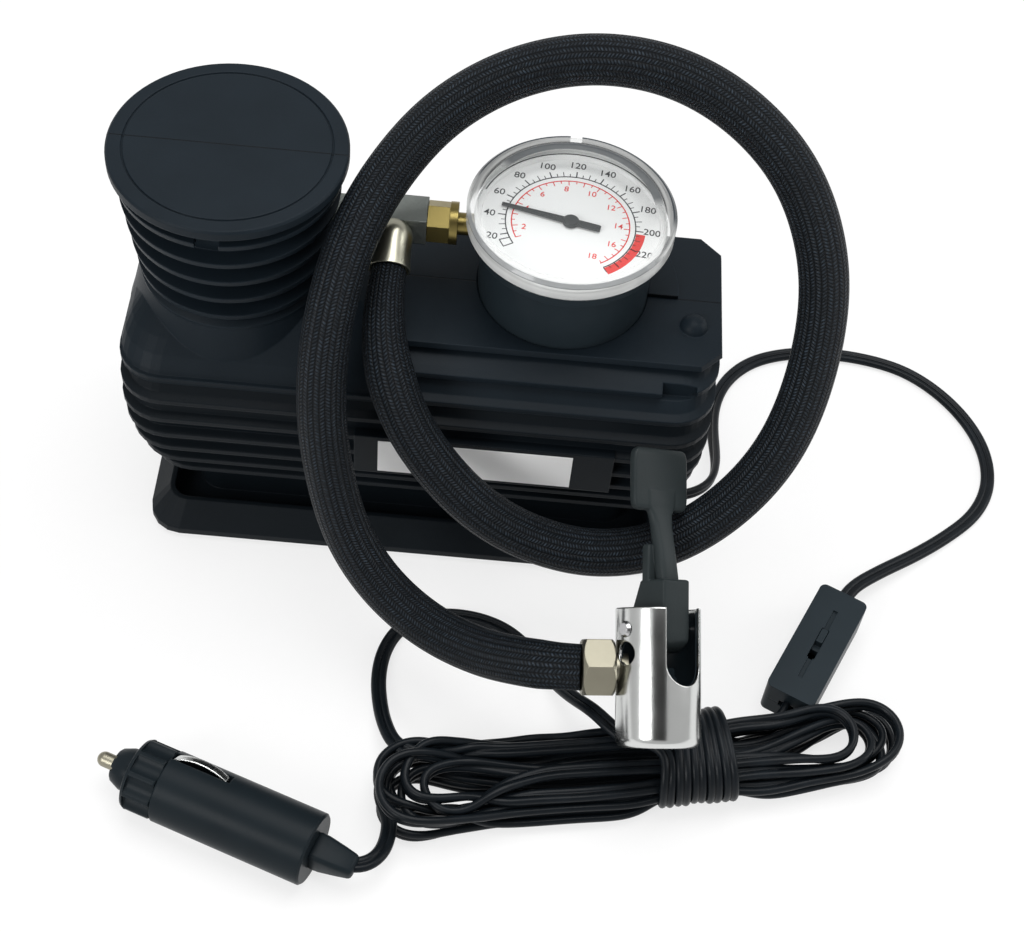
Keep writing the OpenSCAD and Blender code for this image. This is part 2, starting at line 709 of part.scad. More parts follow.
module drive_gear() {
    color([0.9, 0.9, 0.86]) translate([0, 0, gear_z]) difference() {
        union() {
            translate([gear_x, 0, 0]) rotate([0, 90, 0]) spur(gear_teeth, gear_r, gear_t);
            x_cyl(disc_x, gear_x + 0.1, crank_r + 4);
        }
        x_cyl(gear_x - 1.2, frame_x, axle_r + run);
        for (k = [0 : 4]) rotate([36 + 72 * k, 0, 0]) translate([0, 0, 12.2])
            x_cyl(gear_x + gear_t - 3, frame_x, 2.6);
        translate([0, 0, crank_r]) x_cyl(disc_x - 1, disc_x + 3.4, pin_r + 0.01);
    }
}

pin_r = 2;

module crank_pin() {
    color([0.7, 0.7, 0.72]) translate([0, 0, gear_z + crank_r])
        x_cyl(pin_end, disc_x + 3.3, pin_r);
}

// ---- Piston group ----
wrist_r = 2;
wrist_half = bore / 2 - 1.5;
eye_r = 4.6;

module con_rod() {
    x0 = crank_plane - rod_t / 2;
    z0 = gear_z + crank_r;
    color([0.66, 0.66, 0.68]) translate([x0, 0, 0]) difference() {
        union() {
            translate([0, 0, z0]) x_cyl(0, rod_t, eye_r + 0.6);
            translate([0, 0, wrist_z]) x_cyl(0, rod_t, eye_r);
            translate([0, -2.6, z0]) cube([rod_t, 5.2, rod_l]);
        }
        translate([0, 0, z0]) x_cyl(-1, rod_t + 1, pin_r + run);
        translate([0, 0, wrist_z]) x_cyl(-1, rod_t + 1, wrist_r + run);
        for (x = [-eps, rod_t - 1.6 + eps])
            translate([x, -1.5, z0 + 8]) cube([1.6, 3, rod_l - 16]);
    }
}

module wrist_pin() {
    color([0.75, 0.75, 0.77]) translate([tower_x, 0, wrist_z]) x_cyl(-wrist_half, wrist_half, wrist_r);
}

module piston() {
    r = bore / 2 - run;
    color([0.78, 0.78, 0.8]) translate([tower_x, 0, 0]) difference() {
        translate([0, 0, wrist_z - piston_below]) cylinder(h = crown_z - wrist_z + piston_below, r = r);
        translate([-rod_t / 2 - 0.4, 0.9 - wrist_half, wrist_z - piston_below - 1])
            cube([rod_t + 0.8, 2 * wrist_half - 1.8, piston_below + eye_r + 1.3]);
        translate([0, 0, wrist_z]) x_cyl(-wrist_half - 0.1, wrist_half + 0.1, wrist_r + 0.01);
        translate([0, 0, crown_z - 3.6]) tube(1.6, r + 1, r - 1.1);
        translate([0, 0, crown_z - 0.6]) cylinder(h = 1, r = 3);
    }
}

module piston_ring() {
    color([0.2, 0.2, 0.2]) translate([tower_x, 0, crown_z - 3.5]) tube(1.4, bore / 2 - run, bore / 2 - 1);
}

module cylinder_studs(z0, h, r) {
    for (k = [0 : 3]) translate([tower_x, 0, z0]) rotate(45 + 90 * k)
        translate([stud_r, 0, 0]) cylinder(h = h, r = r);
}

module pump_cylinder() {
    fins = 3;
    r_out = bore / 2 + cylinder_wall;
    color([0.72, 0.73, 0.75]) difference() {
        translate([tower_x, 0, 0]) {
            translate([0, 0, cylinder_z0]) cylinder(h = cylinder_z1 - cylinder_z0, r = r_out);
            translate([0, 0, cylinder_z0]) cylinder(h = 2.6, r = flange_r);
            translate([0, 0, cylinder_z1 - 2.4]) cylinder(h = 2.4, r = flange_r);
            for (i = [1 : fins]) translate([0, 0, cylinder_z0 + 2.6 + i * 3.9]) cylinder(h = 1.2, r = r_out + 2.2);
        }
        translate([tower_x, 0, cylinder_z0 - 1]) cylinder(h = cylinder_z1 - cylinder_z0 + 2, r = bore / 2);
        cylinder_studs(cylinder_z0 - 1, cylinder_z1 - cylinder_z0 + 2, screw_r + 0.05);
    }
}

module head_gasket() {
    color([0.75, 0.3, 0.15]) difference() {
        translate([tower_x, 0, cylinder_z1]) tube(gasket_t, flange_r - 0.2, bore / 2);
        cylinder_studs(cylinder_z1 - 1, 4, screw_r + 0.05);
    }
}

// Die-cast head: its arm runs out of the tower to the block that the hose and the gauge share
module cylinder_head() {
    head_h = outlet_z + block_h / 2 - head_z0;
    color([0.5, 0.5, 0.47]) difference() {
        union() {
            translate([tower_x, 0, head_z0]) cylinder(h = 4, r = flange_r);
            translate([tower_x, 0, head_z0]) cylinder(h = head_h, r = 9);
            translate([tower_x, outlet_y - block_w / 2 + 1.2, outlet_z - block_h / 2 + 0.5])
                cube([block_x[0] - tower_x + 1, block_w - 2.4, block_h - 1]);
            translate([block_x[0], outlet_y - block_w / 2, outlet_z - block_h / 2])
                cube([block_x[1] - block_x[0], block_w, block_h]);
        }
        translate([tower_x, 0, head_z0 - 1]) cylinder(h = 6, r = 4);
        translate([0, outlet_y, outlet_z]) {
            x_cyl(tower_x, block_x[1] + 1, 2);
            x_cyl(block_x[1] - stub_l, block_x[1] + 1, stub_r + 0.05);
            translate([elbow_x, 0, 0]) y_cyl(-block_w, -block_w / 2 + stub_l, stub_r + 0.05);
        }
        cylinder_studs(head_z0 - 1, 6, screw_r + 0.05);
    }
}

module head_screws() {
    color([0.55, 0.55, 0.57]) {
        cylinder_studs(shelf_z - 0.9, head_z0 + 4 - shelf_z + 1, screw_r);
        cylinder_studs(head_z0 + 4.05, 2, 2.5);
        cylinder_studs(shelf_z - 2, 1.95, 2.5);
    }
}

// ---- Outlet fittings ----
stub_r = 3;
stub_l = 3.6;
elbow_x = -8;
elbow_at = [elbow_x, outlet_y - block_w / 2 - 2.6, outlet_z];
ferrule_dir = 20;
ferrule_l = 9.4;

module elbow_frame() {
    translate(elbow_at) rotate([90 + ferrule_dir, 0, 0]) children();
}

module hose_elbow() {
    face = outlet_y - block_w / 2;
    color([0.72, 0.7, 0.64]) {
        translate([elbow_x, 0, outlet_z]) y_cyl(face - 0.5, face + stub_l - 0.1, stub_r);
        difference() {
            union() {
                translate([elbow_x, 0, outlet_z]) y_cyl(elbow_at[1], face - 0.05, 5.1);
                translate(elbow_at) sphere(r = 5.3, $fn = 32);
                elbow_frame() cylinder(h = 5.38, r = 3.2);
            }
            translate([elbow_x - 12, face - 0.05, outlet_z - 10]) cube([24, 10, 20]);
        }
    }
}

module hose_ferrule() {
    color([0.78, 0.76, 0.7]) elbow_frame() difference() {
        union() {
            translate([0, 0, 4.02]) cylinder(h = ferrule_l - 4.02, r = 4.9);
            translate([0, 0, 4.02]) cylinder(h = 1, r = 5.1);
            translate([0, 0, ferrule_l - 1.2]) cylinder(h = 1.2, r = 5.2);
        }
        translate([0, 0, 3]) cylinder(h = 2.4, r = 3.6);
    }
}

module brass_adapter() {
    stem_r = 3.2;
    neck_x = gauge_x - dial_r - 0.3;
    color([0.72, 0.55, 0.25]) translate([0, outlet_y, outlet_z]) difference() {
        union() {
            x_cyl(block_x[1] - stub_l + 0.1, block_x[1] + 0.2, stub_r);
            translate([block_x[1] + 0.05, 0, 0]) rotate([0, 90, 0])
                cylinder(h = 6.4, r = hex_r(hex_af), $fn = 6);
            x_cyl(block_x[1] + 6.3, block_x[1] + 8.6, 6.1);
            x_cyl(block_x[1] + 8.5, neck_x, stem_r);
            x_cyl(neck_x - eps, gauge_x - bourdon_r - 0.1, 1.9);
        }
        x_cyl(block_x[1] - 5, gauge_x, 1.2);
    }
}

// ---- Hose and chuck ----
hose_swell = [0.72, 0.78, 0.9];     // the braid is drawn in under the ferrule
hose_r = hose_d / 2;

module air_hose() {
    n = len(hose_route);
    radii = [for (i = [0 : n - 1]) hose_r * (i < 3 ? hose_swell[i] : i > n - 3 ? 0.93 : 1)];
    color([0.09, 0.09, 0.1]) swept_round(hose_route, radii, 12);
}

module chuck_place() {
    translate(chuck_at) rotate(chuck_turn) children();
}

module slot_frame() {
    chuck_place() rotate(slot_turn) children();
}

nut_af = 15.4;

// Hose nut: it screws on the barrel's side and holds the hose end
module chuck_nut() {
    r = chuck_d / 2;
    color([0.72, 0.71, 0.66]) chuck_place() translate([0, 0, nut_z]) difference() {
        union() {
            x_cyl(-r - 9.6, -r - 1.8, hex_r(nut_af) - 0.7);
            translate([-r - 8.6, 0, 0]) rotate([0, 90, 0]) rotate(30) cylinder(h = 6, r = hex_r(nut_af), $fn = 6);
            x_cyl(-r - 2, -r + 3.2, 4);
        }
        x_cyl(-r - 10, -r - 4, 3);
    }
}

module chuck_barrel() {
    r = chuck_d / 2;
    sheet = 1;
    slot_w = 12;
    slot_low = 17;
    color([0.82, 0.82, 0.84]) slot_frame() difference() {
        union() {
            cylinder(h = 2.2, r1 = r - 2, r2 = r - 0.4);
            translate([0, 0, 2.2]) cylinder(h = chuck_l - 2.2, r = r);
        }
        translate([0, 0, 2.4]) cylinder(h = chuck_l, r = r - sheet);
        translate([0, 0, -1]) cylinder(h = 4, r = 4.6);
        translate([-slot_w / 2, -r - 1, slot_low + slot_w / 2]) cube([slot_w, r, chuck_l]);
        translate([0, 0, slot_low + slot_w / 2]) y_cyl(-r - 1, -1, slot_w / 2);
        rotate(90) translate([0, 0, pivot_z - 7]) y_cyl(0, r + 1, 2.9);
        rotate(90) translate([-1, 0, pivot_z - 6]) cube([2, r + 1, 4]);
        rotate(90) translate([0, 0, pivot_z]) y_cyl(-r - 1, r + 1, 1.5 + 0.01);
        rotate(-slot_turn) translate([0, 0, nut_z]) x_cyl(-r - 1, 0, 4.1);
    }
}

// Valve core: the seal seat and the plunger that the lever presses
module chuck_core() {
    r = chuck_d / 2 - 1 - fit_gap;
    color([0.08, 0.08, 0.08]) slot_frame() difference() {
        union() {
            translate([0, 0, 7.4]) cylinder(h = 8, r = r);
            translate([0, 0, 7.4]) cylinder(h = 12, r = 4.6);
        }
        translate([0, 0, 7]) cylinder(h = 9, r = 2);
        rotate(-slot_turn) translate([0, 0, nut_z]) x_cyl(-r - 1, r + 1, 4.2);
    }
}

module chuck_seal() {
    color([0.12, 0.12, 0.12]) slot_frame() translate([0, 0, 2.5]) tube(4.8, chuck_d / 2 - 1 - fit_gap, 4);
}

module lever_pin() {
    r = chuck_d / 2;
    color([0.75, 0.75, 0.77]) slot_frame() translate([0, 0, pivot_z]) {
        x_cyl(-r - 0.5, r + 0.5, 1.5);
        for (side = [-1, 1]) rotate([0, side * 90, 0]) translate([0, 0, r + 0.05])
            cylinder(h = 0.9, r1 = 2.3, r2 = 1.7);
    }
}

lever_w = 9.6;
lever_l = 52;

// Thumb lever: cam block on the pin, ribbed neck and a wide paddle
module thumb_lever() {
    color([0.2, 0.21, 0.2]) slot_frame() translate([0, 0, pivot_z]) difference() {
        union() {
            rotate([0, 90, 0]) translate([0, 0, -lever_w / 2]) cylinder(h = lever_w, r = 6.6);
            translate([-lever_w / 2, -7.5, -4]) cube([lever_w, 11.5, 18]);
            hull() {
                translate([-4, -6, 13]) cube([8, 8, 1]);
                translate([-3.2, -4, 27]) cube([6.4, 5, 1]);
            }
            hull() {
                translate([-3.2, -4, 27]) cube([6.4, 5, 1]);
                translate([-8.3, -4.5, lever_l - 15.5]) cube([16.6, 3.4, 13.5]);
                translate([-7.3, -4.2, lever_l - 3]) cube([14.6, 3, 1.5]);
            }
        }
        x_cyl(-lever_w, lever_w, 1.5 + run);
    }
}

// ---- Gauge ----
module gauge_place() {
    translate([gauge_x, gauge_y, plate_z]) children();
}

module gauge_case() {
    t = case_t;
    color([0.05, 0.05, 0.055]) difference() {
        gauge_place() difference() {
            union() {
                translate([0, 0, cup_low]) cylinder(h = 1.5, r1 = cup_r - 1.5, r2 = cup_r);
                translate([0, 0, cup_low + 1.5]) cylinder(h = cup_top - cup_low - 1.5, r = cup_r);
                translate([0, 0, cup_top - 2]) cylinder(h = 2, r1 = cup_r, r2 = dial_r + 1.2);
                translate([0, 0, cup_top]) cylinder(h = case_rim_z - cup_top, r = dial_r + 1.2);
            }
            translate([0, 0, cup_low + t]) cylinder(h = 40, r = cup_r - t);
            translate([0, 0, dial_z - 1]) cylinder(h = 5, r = dial_r + fit_gap);
        }
        translate([0, outlet_y, outlet_z]) x_cyl(0, gauge_x, 3.2 + fit_gap);
    }
}

module gauge_lens() {
    color([0.85, 0.9, 0.92, 0.35]) gauge_place() difference() {
        union() {
            translate([0, 0, lens_low]) cylinder(h = 1.2, r1 = lens_r - 0.8, r2 = lens_r);
            translate([0, 0, lens_low + 1.2]) cylinder(h = lens_top - lens_low - 2, r = lens_r);
            translate([0, 0, lens_top - 0.8]) cylinder(h = 0.8, r1 = lens_r, r2 = lens_r - 0.8);
        }
        translate([0, 0, lens_low - 1]) cylinder(h = case_rim_z - lens_low + 1.2, r = dial_r + 1.2 + fit_gap);
        translate([0, 0, case_rim_z]) cylinder(h = lens_top - 1.6 - case_rim_z, r = dial_r + 0.6);
        translate([0, lens_r, lens_top - 1]) cube([3.4, 3, 4], center = true);
    }
}

arbor_r = 0.9;
case_t = 1.8;

module dial_plate() {
    color([0.95, 0.95, 0.93]) gauge_place() translate([0, 0, dial_z - 0.95]) tube(0.8, dial_r, arbor_r + 0.3);
}

// Needle at its rest reading, with its hub, arbor and pinion
needle_angle = 168;

module pointer() {
    z = dial_z + 1;
    color([0.05, 0.05, 0.05]) gauge_place() rotate(needle_angle) {
        translate([0, 0, z]) linear_extrude(0.6) polygon([[-2, -1.1], [19.5, -0.35], [19.5, 0.35], [-2, 1.1]]);
        translate([0, 0, z]) linear_extrude(0.6) polygon([[-8, -1.9], [0, -1], [0, 1], [-8, 1.9]]);
        translate([0, 0, z - 0.3]) cylinder(h = 1.8, r = 2.8);
        translate([0, 0, 9]) cylinder(h = z - 8.9, r = arbor_r);
        translate([0, 0, 15.2]) cylinder(h = 3.2, r = pointer_pinion_r);
    }
}

pointer_pinion_r = 1.3;
sector_r = 13;
sector_at = -(sector_r + pointer_pinion_r + 0.15);

// Plates and posts that carry the arbor and the sector's pivot
module gauge_movement() {
    color([0.75, 0.6, 0.3]) gauge_place() difference() {
        union() {
            for (z = [9.5, 19]) translate([-3.9, sector_at - 3.9, z]) cube([7.8, 21.9, 1.2]);
            for (y = [sector_at - 2.9, sector_at + 16.9]) for (x = [-2.6, 2.6])
                translate([x, y, cup_low + case_t + 0.02]) cylinder(h = 19.2 - cup_low - case_t, r = 1);
        }
        for (y = [0, sector_at]) translate([0, y, 5]) cylinder(h = 20, r = arbor_r + run);
    }
}

module sector_gear() {
    color([0.8, 0.66, 0.35]) gauge_place() translate([0, sector_at, 0]) {
        translate([0, 0, 9.6]) cylinder(h = 10.5, r = arbor_r);
        translate([0, 0, 15.8]) rotate(90) difference() {
            intersection() {
                cylinder(h = 1.6, r = sector_r);
                translate([0, 0, -1]) linear_extrude(4) polygon([[-1.5, -1.5], [20, -16], [20, 16], [-1.5, 1.5]]);
            }
            for (side = [-1, 1]) translate([8, side * 3.4, -1]) cylinder(h = 4, r = 1.6);
        }
        translate([0, 0, 15.8]) cylinder(h = 1.6, r = 1.9);
    }
}

// Curved pressure tube, from the fitting round to the linkage
module bourdon_tube() {
    color([0.72, 0.58, 0.32]) gauge_place() translate([0, 0, bourdon_z]) intersection() {
        translate([0, 0, -1.8]) tube(3.6, bourdon_r, bourdon_r - 1.8);
        translate([0, 0, -3]) linear_extrude(8)
            polygon([[0, 0], [-40, -8], [-40, 40], [40, 40], [40, -16]]);
    }
}

// ---- Cord ----
module cord_from_body() {
    color([0.04, 0.04, 0.045]) swept_flat(cord_route, cord_w, cord_t);
}

module cord_to_hank() {
    color([0.04, 0.04, 0.045]) swept_flat(lead_route, cord_w, cord_t);
}

module cord_loop() {
    color([0.04, 0.04, 0.045]) swept_flat(loop_route, cord_w, cord_t);
}

module cord_to_plug() {
    color([0.04, 0.04, 0.045]) swept_flat(tail_route, cord_w, cord_t);
}

// Outer shape of the hank, with the turns that bind it
module cord_hank() {
    x0 = hank_r[0] - hank_l / 2;
    x1 = hank_l / 2 - hank_r[1];
    color([0.05, 0.05, 0.055]) translate(hank_at) rotate(hank_turn) {
        linear_extrude(hank_h) {
            polygon([[x0, -hank_r[0]], [x1, -hank_r[1]], [x1, hank_r[1]], hank_waist, [x0, hank_r[0]]]);
            translate([x0, 0]) circle(hank_r[0]);
            translate([x1, 0]) circle(hank_r[1]);
        }
        translate([tie_x[0], -hank_r[0], 0]) cube([tie_x[1] - tie_x[0], 2 * hank_r[0], tie_h]);
    }
}

// ---- In-line switch ----
module switch_place() {
    translate(switch_at) rotate(switch_turn) children();
}

module switch_half(z0, z1) {
    translate([0, 0, z0]) linear_extrude(z1 - z0) round_rect(switch_l, switch_w, 2);
}

module cord_slots() {
    for (x = [switch_l / 2 - 3, -switch_l / 2 - 1])
        translate([x, -cord_w / 2 - 0.15, switch_cord_z - cord_t / 2 - 0.15])
            cube([4, cord_w + 0.3, cord_t + 0.3]);
}

module switch_bottom() {
    color([0.07, 0.07, 0.075]) switch_place() difference() {
        switch_half(0, switch_seam);
        translate([0, 0, 1.8]) linear_extrude(20) round_rect(switch_l - 5, switch_w - 3.6, 1);
        cord_slots();
    }
}

groove_l = 27;
slide_travel = 6;
knob_l = 5;
window_l = knob_l + slide_travel + 2 * move_gap;

module switch_top() {
    color([0.06, 0.06, 0.065]) switch_place() difference() {
        switch_half(switch_seam + 0.05, switch_h);
        translate([0, 0, switch_seam - 1]) linear_extrude(switch_h - 2 - switch_seam + 1)
            round_rect(switch_l - 5, switch_w - 3.6, 1);
        translate([-window_l / 2, -1 - fit_gap, switch_h - 5]) cube([window_l, 2 + 2 * fit_gap, 10]);
        translate([-groove_l / 2, -0.7, switch_h - 0.8]) cube([groove_l, 1.4, 2]);
        cord_slots();
    }
}

module switch_slider() {
    color([0.1, 0.1, 0.1]) switch_place() translate([window_l / 2 - knob_l - move_gap, 0, 0]) {
        translate([0, -1, switch_h - 3]) cube([knob_l, 2, 3.2]);
        translate([-2, -4, switch_h - 4.6]) cube([knob_l + 4, 8, 2.4]);
    }
}

// ---- Plug, along its own +X from the tip ----
module plug_place() {
    translate(plug_at) rotate(plug_turn) rotate([plug_roll, 0, 0]) children();
}

plug_r = plug_d / 2;
nose_x = 6;
collar_x = 14;
body_x = 24;
body_end = 66;

module plug_tip() {
    color([0.75, 0.75, 0.77]) plug_place() {
        translate([2.2, 0, 0]) sphere(r = 2.2, $fn = 24);
        x_cyl(2.2, nose_x + 5, 2.2);
        x_cyl(nose_x + 5 - eps, nose_x + 6.2, 3.4);
    }
}

module tip_spring() {
    color([0.7, 0.7, 0.72]) plug_place() for (i = [0 : 3])
        translate([nose_x + 6.4 + 3.2 + i * 1.5, 0, 0]) rotate([0, 90, 0]) tube(0.8, 3.2, 2.2);
}

module plug_nose() {
    color([0.05, 0.05, 0.055]) plug_place() difference() {
        union() {
            x_cyl(nose_x, collar_x, 4.2, 6.6);
            x_cyl(collar_x - eps, collar_x + 2, 6.6);
        }
        x_cyl(nose_x - 1, nose_x + 4, 2.2 + run);
        x_cyl(nose_x + 4, collar_x + 3, 3.7);
    }
}

module plug_collar() {
    ribs = 10;
    color([0.06, 0.06, 0.065]) plug_place() difference() {
        union() {
            x_cyl(collar_x + 2.05, collar_x + 3.4, 7.8, plug_r - 1);
            x_cyl(collar_x + 3.4 - eps, body_x, plug_r - 1);
            for (k = [0 : ribs - 1]) rotate([k * 360 / ribs, 0, 0])
                translate([collar_x + 3.4, -2.1, plug_r - 1.7]) cube([body_x - collar_x - 3.4, 4.2, 1.5]);
        }
        x_cyl(collar_x, body_x + 1, 3.7);
    }
}

module plug_fuse() {
    color([0.7, 0.75, 0.78]) plug_place() {
        x_cyl(collar_x + 8.2, body_x + 20, 3);
        x_cyl(collar_x + 8, collar_x + 12, 3.2);
        x_cyl(body_x + 16, body_x + 20.2, 3.2);
    }
}

module plug_body() {
    color([0.05, 0.05, 0.055]) plug_place() difference() {
        union() {
            x_cyl(body_x + 0.05, body_end - 2, plug_r);
            x_cyl(body_end - 2 - eps, body_end, plug_r, plug_r - 1.2);
        }
        x_cyl(body_x - 1, body_x + 24, 3.7);
        for (side = [-1, 1]) translate([body_x + 1, -1.9, side > 0 ? plug_r - 3.2 : -plug_r - 3.2])
            cube([18, 3.8, 6.4]);
    }
}

// Spring contact: a strip pinned at its rear end, bowed out of the barrel
module side_contact(side) {
    r_bow = 22;
    color([0.78, 0.78, 0.8]) plug_place() mirror([0, 0, side > 0 ? 0 : 1]) intersection() {
        translate([body_x + 9.5, 0, plug_r + 0.7 - r_bow]) rotate([90, 0, 0]) translate([0, 0, -1.6])
            tube(3.2, r_bow, r_bow - 0.6);
        translate([body_x + 1.6, -2, plug_r - 2.9]) cube([16.6, 4, 6]);
    }
}

module side_contact_a() {
    side_contact(1);
}

module side_contact_b() {
    side_contact(-1);
}

module plug_relief() {
    color([0.04, 0.04, 0.045]) plug_place() difference() {
        hull() {
            x_cyl(body_end + 0.02, body_end + 1, 4.1);
            rotate([-plug_roll, 0, 0]) translate([body_end + 11.2, -cord_w / 2 - 0.5, -cord_t / 2 - 0.7])
                cube([0.8, cord_w + 1, cord_t + 1.4]);
        }
        rotate([-plug_roll, 0, 0]) translate([body_end + 8, -cord_w / 2 - 0.1, -cord_t / 2 - 0.1])
            cube([6, cord_w + 0.2, cord_t + 0.2]);
    }
}

front_shell();
rear_shell();
base_tray();
rubber_feet();
shell_screws();
base_screws();
cord_grommet();
motor_can();
motor_magnets();
motor_end_cap();
brushes();
armature();
motor_pinion();
motor_screws();
gear_frame();
gear_axle();
drive_gear();
crank_pin();
con_rod();
wrist_pin();
piston();
piston_ring();
pump_cylinder();
head_gasket();
cylinder_head();
head_screws();
hose_elbow();
hose_ferrule();
brass_adapter();
air_hose();
chuck_nut();
chuck_barrel();
chuck_core();
chuck_seal();
lever_pin();
thumb_lever();
gauge_case();
gauge_lens();
dial_plate();
pointer();
gauge_movement();
sector_gear();
bourdon_tube();
cord_from_body();
switch_bottom();
switch_top();
switch_slider();
cord_to_hank();
cord_hank();
cord_loop();
cord_to_plug();
plug_relief();
plug_body();
plug_collar();
plug_nose();
plug_tip();
tip_spring();
plug_fuse();
side_contact_a();
side_contact_b();
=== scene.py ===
"""Finishes, hose, cords, dial marks and stage for a portable tire inflator."""

import json
import math

import bmesh
import bpy
import numpy as np
from mathutils import Euler, Matrix, Vector
from mathutils.kdtree import KDTree


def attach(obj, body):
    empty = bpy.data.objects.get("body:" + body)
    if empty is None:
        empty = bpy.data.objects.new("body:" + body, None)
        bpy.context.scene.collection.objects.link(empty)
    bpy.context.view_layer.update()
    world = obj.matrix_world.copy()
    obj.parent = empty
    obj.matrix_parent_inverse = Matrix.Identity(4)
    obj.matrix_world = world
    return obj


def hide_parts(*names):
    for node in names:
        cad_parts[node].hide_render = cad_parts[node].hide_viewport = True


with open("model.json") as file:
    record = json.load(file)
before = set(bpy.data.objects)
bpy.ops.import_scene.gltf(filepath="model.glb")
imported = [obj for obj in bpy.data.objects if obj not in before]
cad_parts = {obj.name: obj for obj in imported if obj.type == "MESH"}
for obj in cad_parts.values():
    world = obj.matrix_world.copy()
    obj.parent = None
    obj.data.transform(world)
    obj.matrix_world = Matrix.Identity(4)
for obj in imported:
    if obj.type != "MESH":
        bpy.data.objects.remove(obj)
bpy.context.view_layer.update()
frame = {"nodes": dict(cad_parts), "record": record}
NODES = frame["nodes"]

bl_info = {
    "name": "Portable tire inflator",
    "version": (1, 0),
    "blender": (4, 5, 0),
    "location": "3D View > Sidebar > Inflator",
    "description": "Finishes, hose, cords, dial marks and stage for a portable tire inflator",
    "category": "Object",
}

MM = 0.001

# ---- Routes, in millimetres, as the casing, switch, hank and plug leave them ----

HOSE_ROUTE = [
    (-10, -13.5, 102.9), (-10.4, -21.5, 100), (-9.6, -31, 94.5), (-6.4, -40, 86), (-0.2, -47, 74.8),
    (9.4, -52.5, 63), (21, -57, 53), (35, -60.5, 46.5), (54, -63, 44.5), (73, -61.5, 49),
    (90, -55.5, 60.5), (103, -45.5, 77), (109.5, -31, 97), (109, -15, 119), (99.5, -0.5, 137.5),
    (84, 10.5, 149), (64, 18.5, 155), (41.5, 21.5, 155), (20, 19.5, 149), (1.5, 12, 139),
    (-12, -1.5, 127.5), (-20, -17.5, 117.5), (-24.5, -35, 103), (-25, -48.5, 84),
    (-21.5, -58.5, 64), (-15, -67, 47.5), (-4.5, -75, 35.5), (10, -83.5, 29.5), (25, -91.4, 31.5),
    (36, -97.3, 38), (44.2, -100.7, 42.7), (53, -101.2, 44),
]
CORD_ROUTE = [
    (73, -20, 17), (81, -20, 17), (88, -18.5, 17.6), (93, -13.5, 16.5), (95.5, -5, 13.5),
    (96, 6, 9.2), (96, 18, 5), (97, 30, 2.2), (101, 41.5, 1.3), (109.5, 51, 1.3),
    (122, 56.5, 1.3), (136, 58.3, 1.3), (150, 57.3, 1.3), (163, 53.5, 1.3), (174, 45.5, 1.3),
    (183, 34, 1.3), (188, 21, 1.3), (188, 7, 1.3), (182.5, -5, 1.3), (172, -15.5, 1.5),
    (160.5, -25, 3), (148.5, -34, 5.2), (138.5, -42.6, 6.5), (135.3, -49.1, 6.5),
]
LEAD_ROUTE = [(117.7, -85.1, 6.5), (114.4, -91.8, 6.5)]
LOOP_ROUTE = [
    (4, -112, 9), (-0.5, -104, 6), (-3, -95, 2.6), (-4.5, -85, 1.3), (-3.5, -75, 1.3),
    (1, -66.5, 1.3), (10, -61.8, 1.3), (22, -61.3, 1.3), (33, -65, 1.3), (41.5, -73, 1.6),
    (47.5, -82.5, 4.5), (53, -91.5, 11), (59.5, -100, 18), (67.5, -107.5, 18.5),
    (77.8, -113, 18.5),
]
TAIL_ROUTE = [
    (3.5, -132, 6), (3.6, -139, 7), (2.6, -145, 9), (-0.8, -149.5, 10.4), (-4.7, -150.8, 10.5),
    (-8, -149.6, 10.5),
]

# ---- Places in millimetres, turns in degrees ----

GAUGE_AT = (39.5, 2)
LENS_R = 29.5
LENS_TOP = 117.7
DIAL_TOP = 111.6
DIAL_TURN = -6
DIAL_ZERO = 221.1
DIAL_STEP = 1.1175
DIAL_END = 250
RED_STEP = 14.22  # what one unit of the red scale is on the black one
REST_BOX = (9, 15.5)  # where the needle rests, on the black scale
INK = 0.04
PANEL_FRONT = -38.8
CHUCK_AT = (76, -118.3, 33)
CHUCK_TURN = (-60, 0, 5)
CHUCK_PIVOT = 32.5
SLOT_TURN = (0, 0, 33)
NUT_UP = 22
ELBOW_AT = (-10, -4.6, 106.2)
DOME_R = 5.8
PLUG_AT = (-80, -123.8, 10.5)
PLUG_LIE = (0, 0, -19.7)
PLUG_ROLL = -32
FLUTES = 10
BOW_R = 18
HANK_AT = (74, -111)
HANK_TURN = math.radians(11.4)

# ---- Distances and places in metres ----

WELD = 0.000004
SEAM = (0.00008, 0.0003)  # from its middle, where the dark line fades out
SEAM_FOOT = 0.02
RIBS_FROM = (0.066, 0.076)  # the height at which the painted shade on the smooth panels below gives way to the ribs
HOSE_NECK = [(0, 0.72), (0.0086, 0.78), (0.0195, 0.9), (0.03, 1)]  # from the elbow, share of thickness
HOSE_END = [(0.012, 1), (0.006, 0.95), (0, 0.93)]  # from the nut, share of thickness
CORD_TURN = [(0, 0.9), (0.03, 0.9), (0.06, 0.5), (0.09, 0)]  # from the grommet, share of upright
CORD_REPEAT = 0.02
CAMERA_AT = (0.0191, -0.3716, 0.4946)
CAMERA_TURNS = ((-1.8, "Z"), (36.86, "X"), (6.5, "Z"))
LAMPS_AIM = (0.03, -0.03, 0.05)
LAMPS = (  # name, place, size, power
    ("top_lamp", (0.1, 0.2, 1.5), 1.2, 15.0),
    ("front_lamp", (-0.9, -1.0, 0.9), 0.7, 9.0),
    ("side_lamp", (1.3, 0.2, 0.7), 0.7, 4.5),
)
RAYS = ("Is Camera Ray", "Is Glossy Ray", "Is Transmission Ray")

# ---- Rings of the lens, of painted light and painted dark reflections: the shares of its radius between which each fades in or out ----

OUTER_RING = (0.95, 0.96)
INNER_RING = ((0.785, 0.8), (0.872, 0.885))
FOOT_RING = (0.958, 0.968)
RIM_RING = (0.978, 0.985)
WALL_RING = ((0.885, 0.892), (0.915, 0.92))
STEP_RING = (0.885, 0.91)


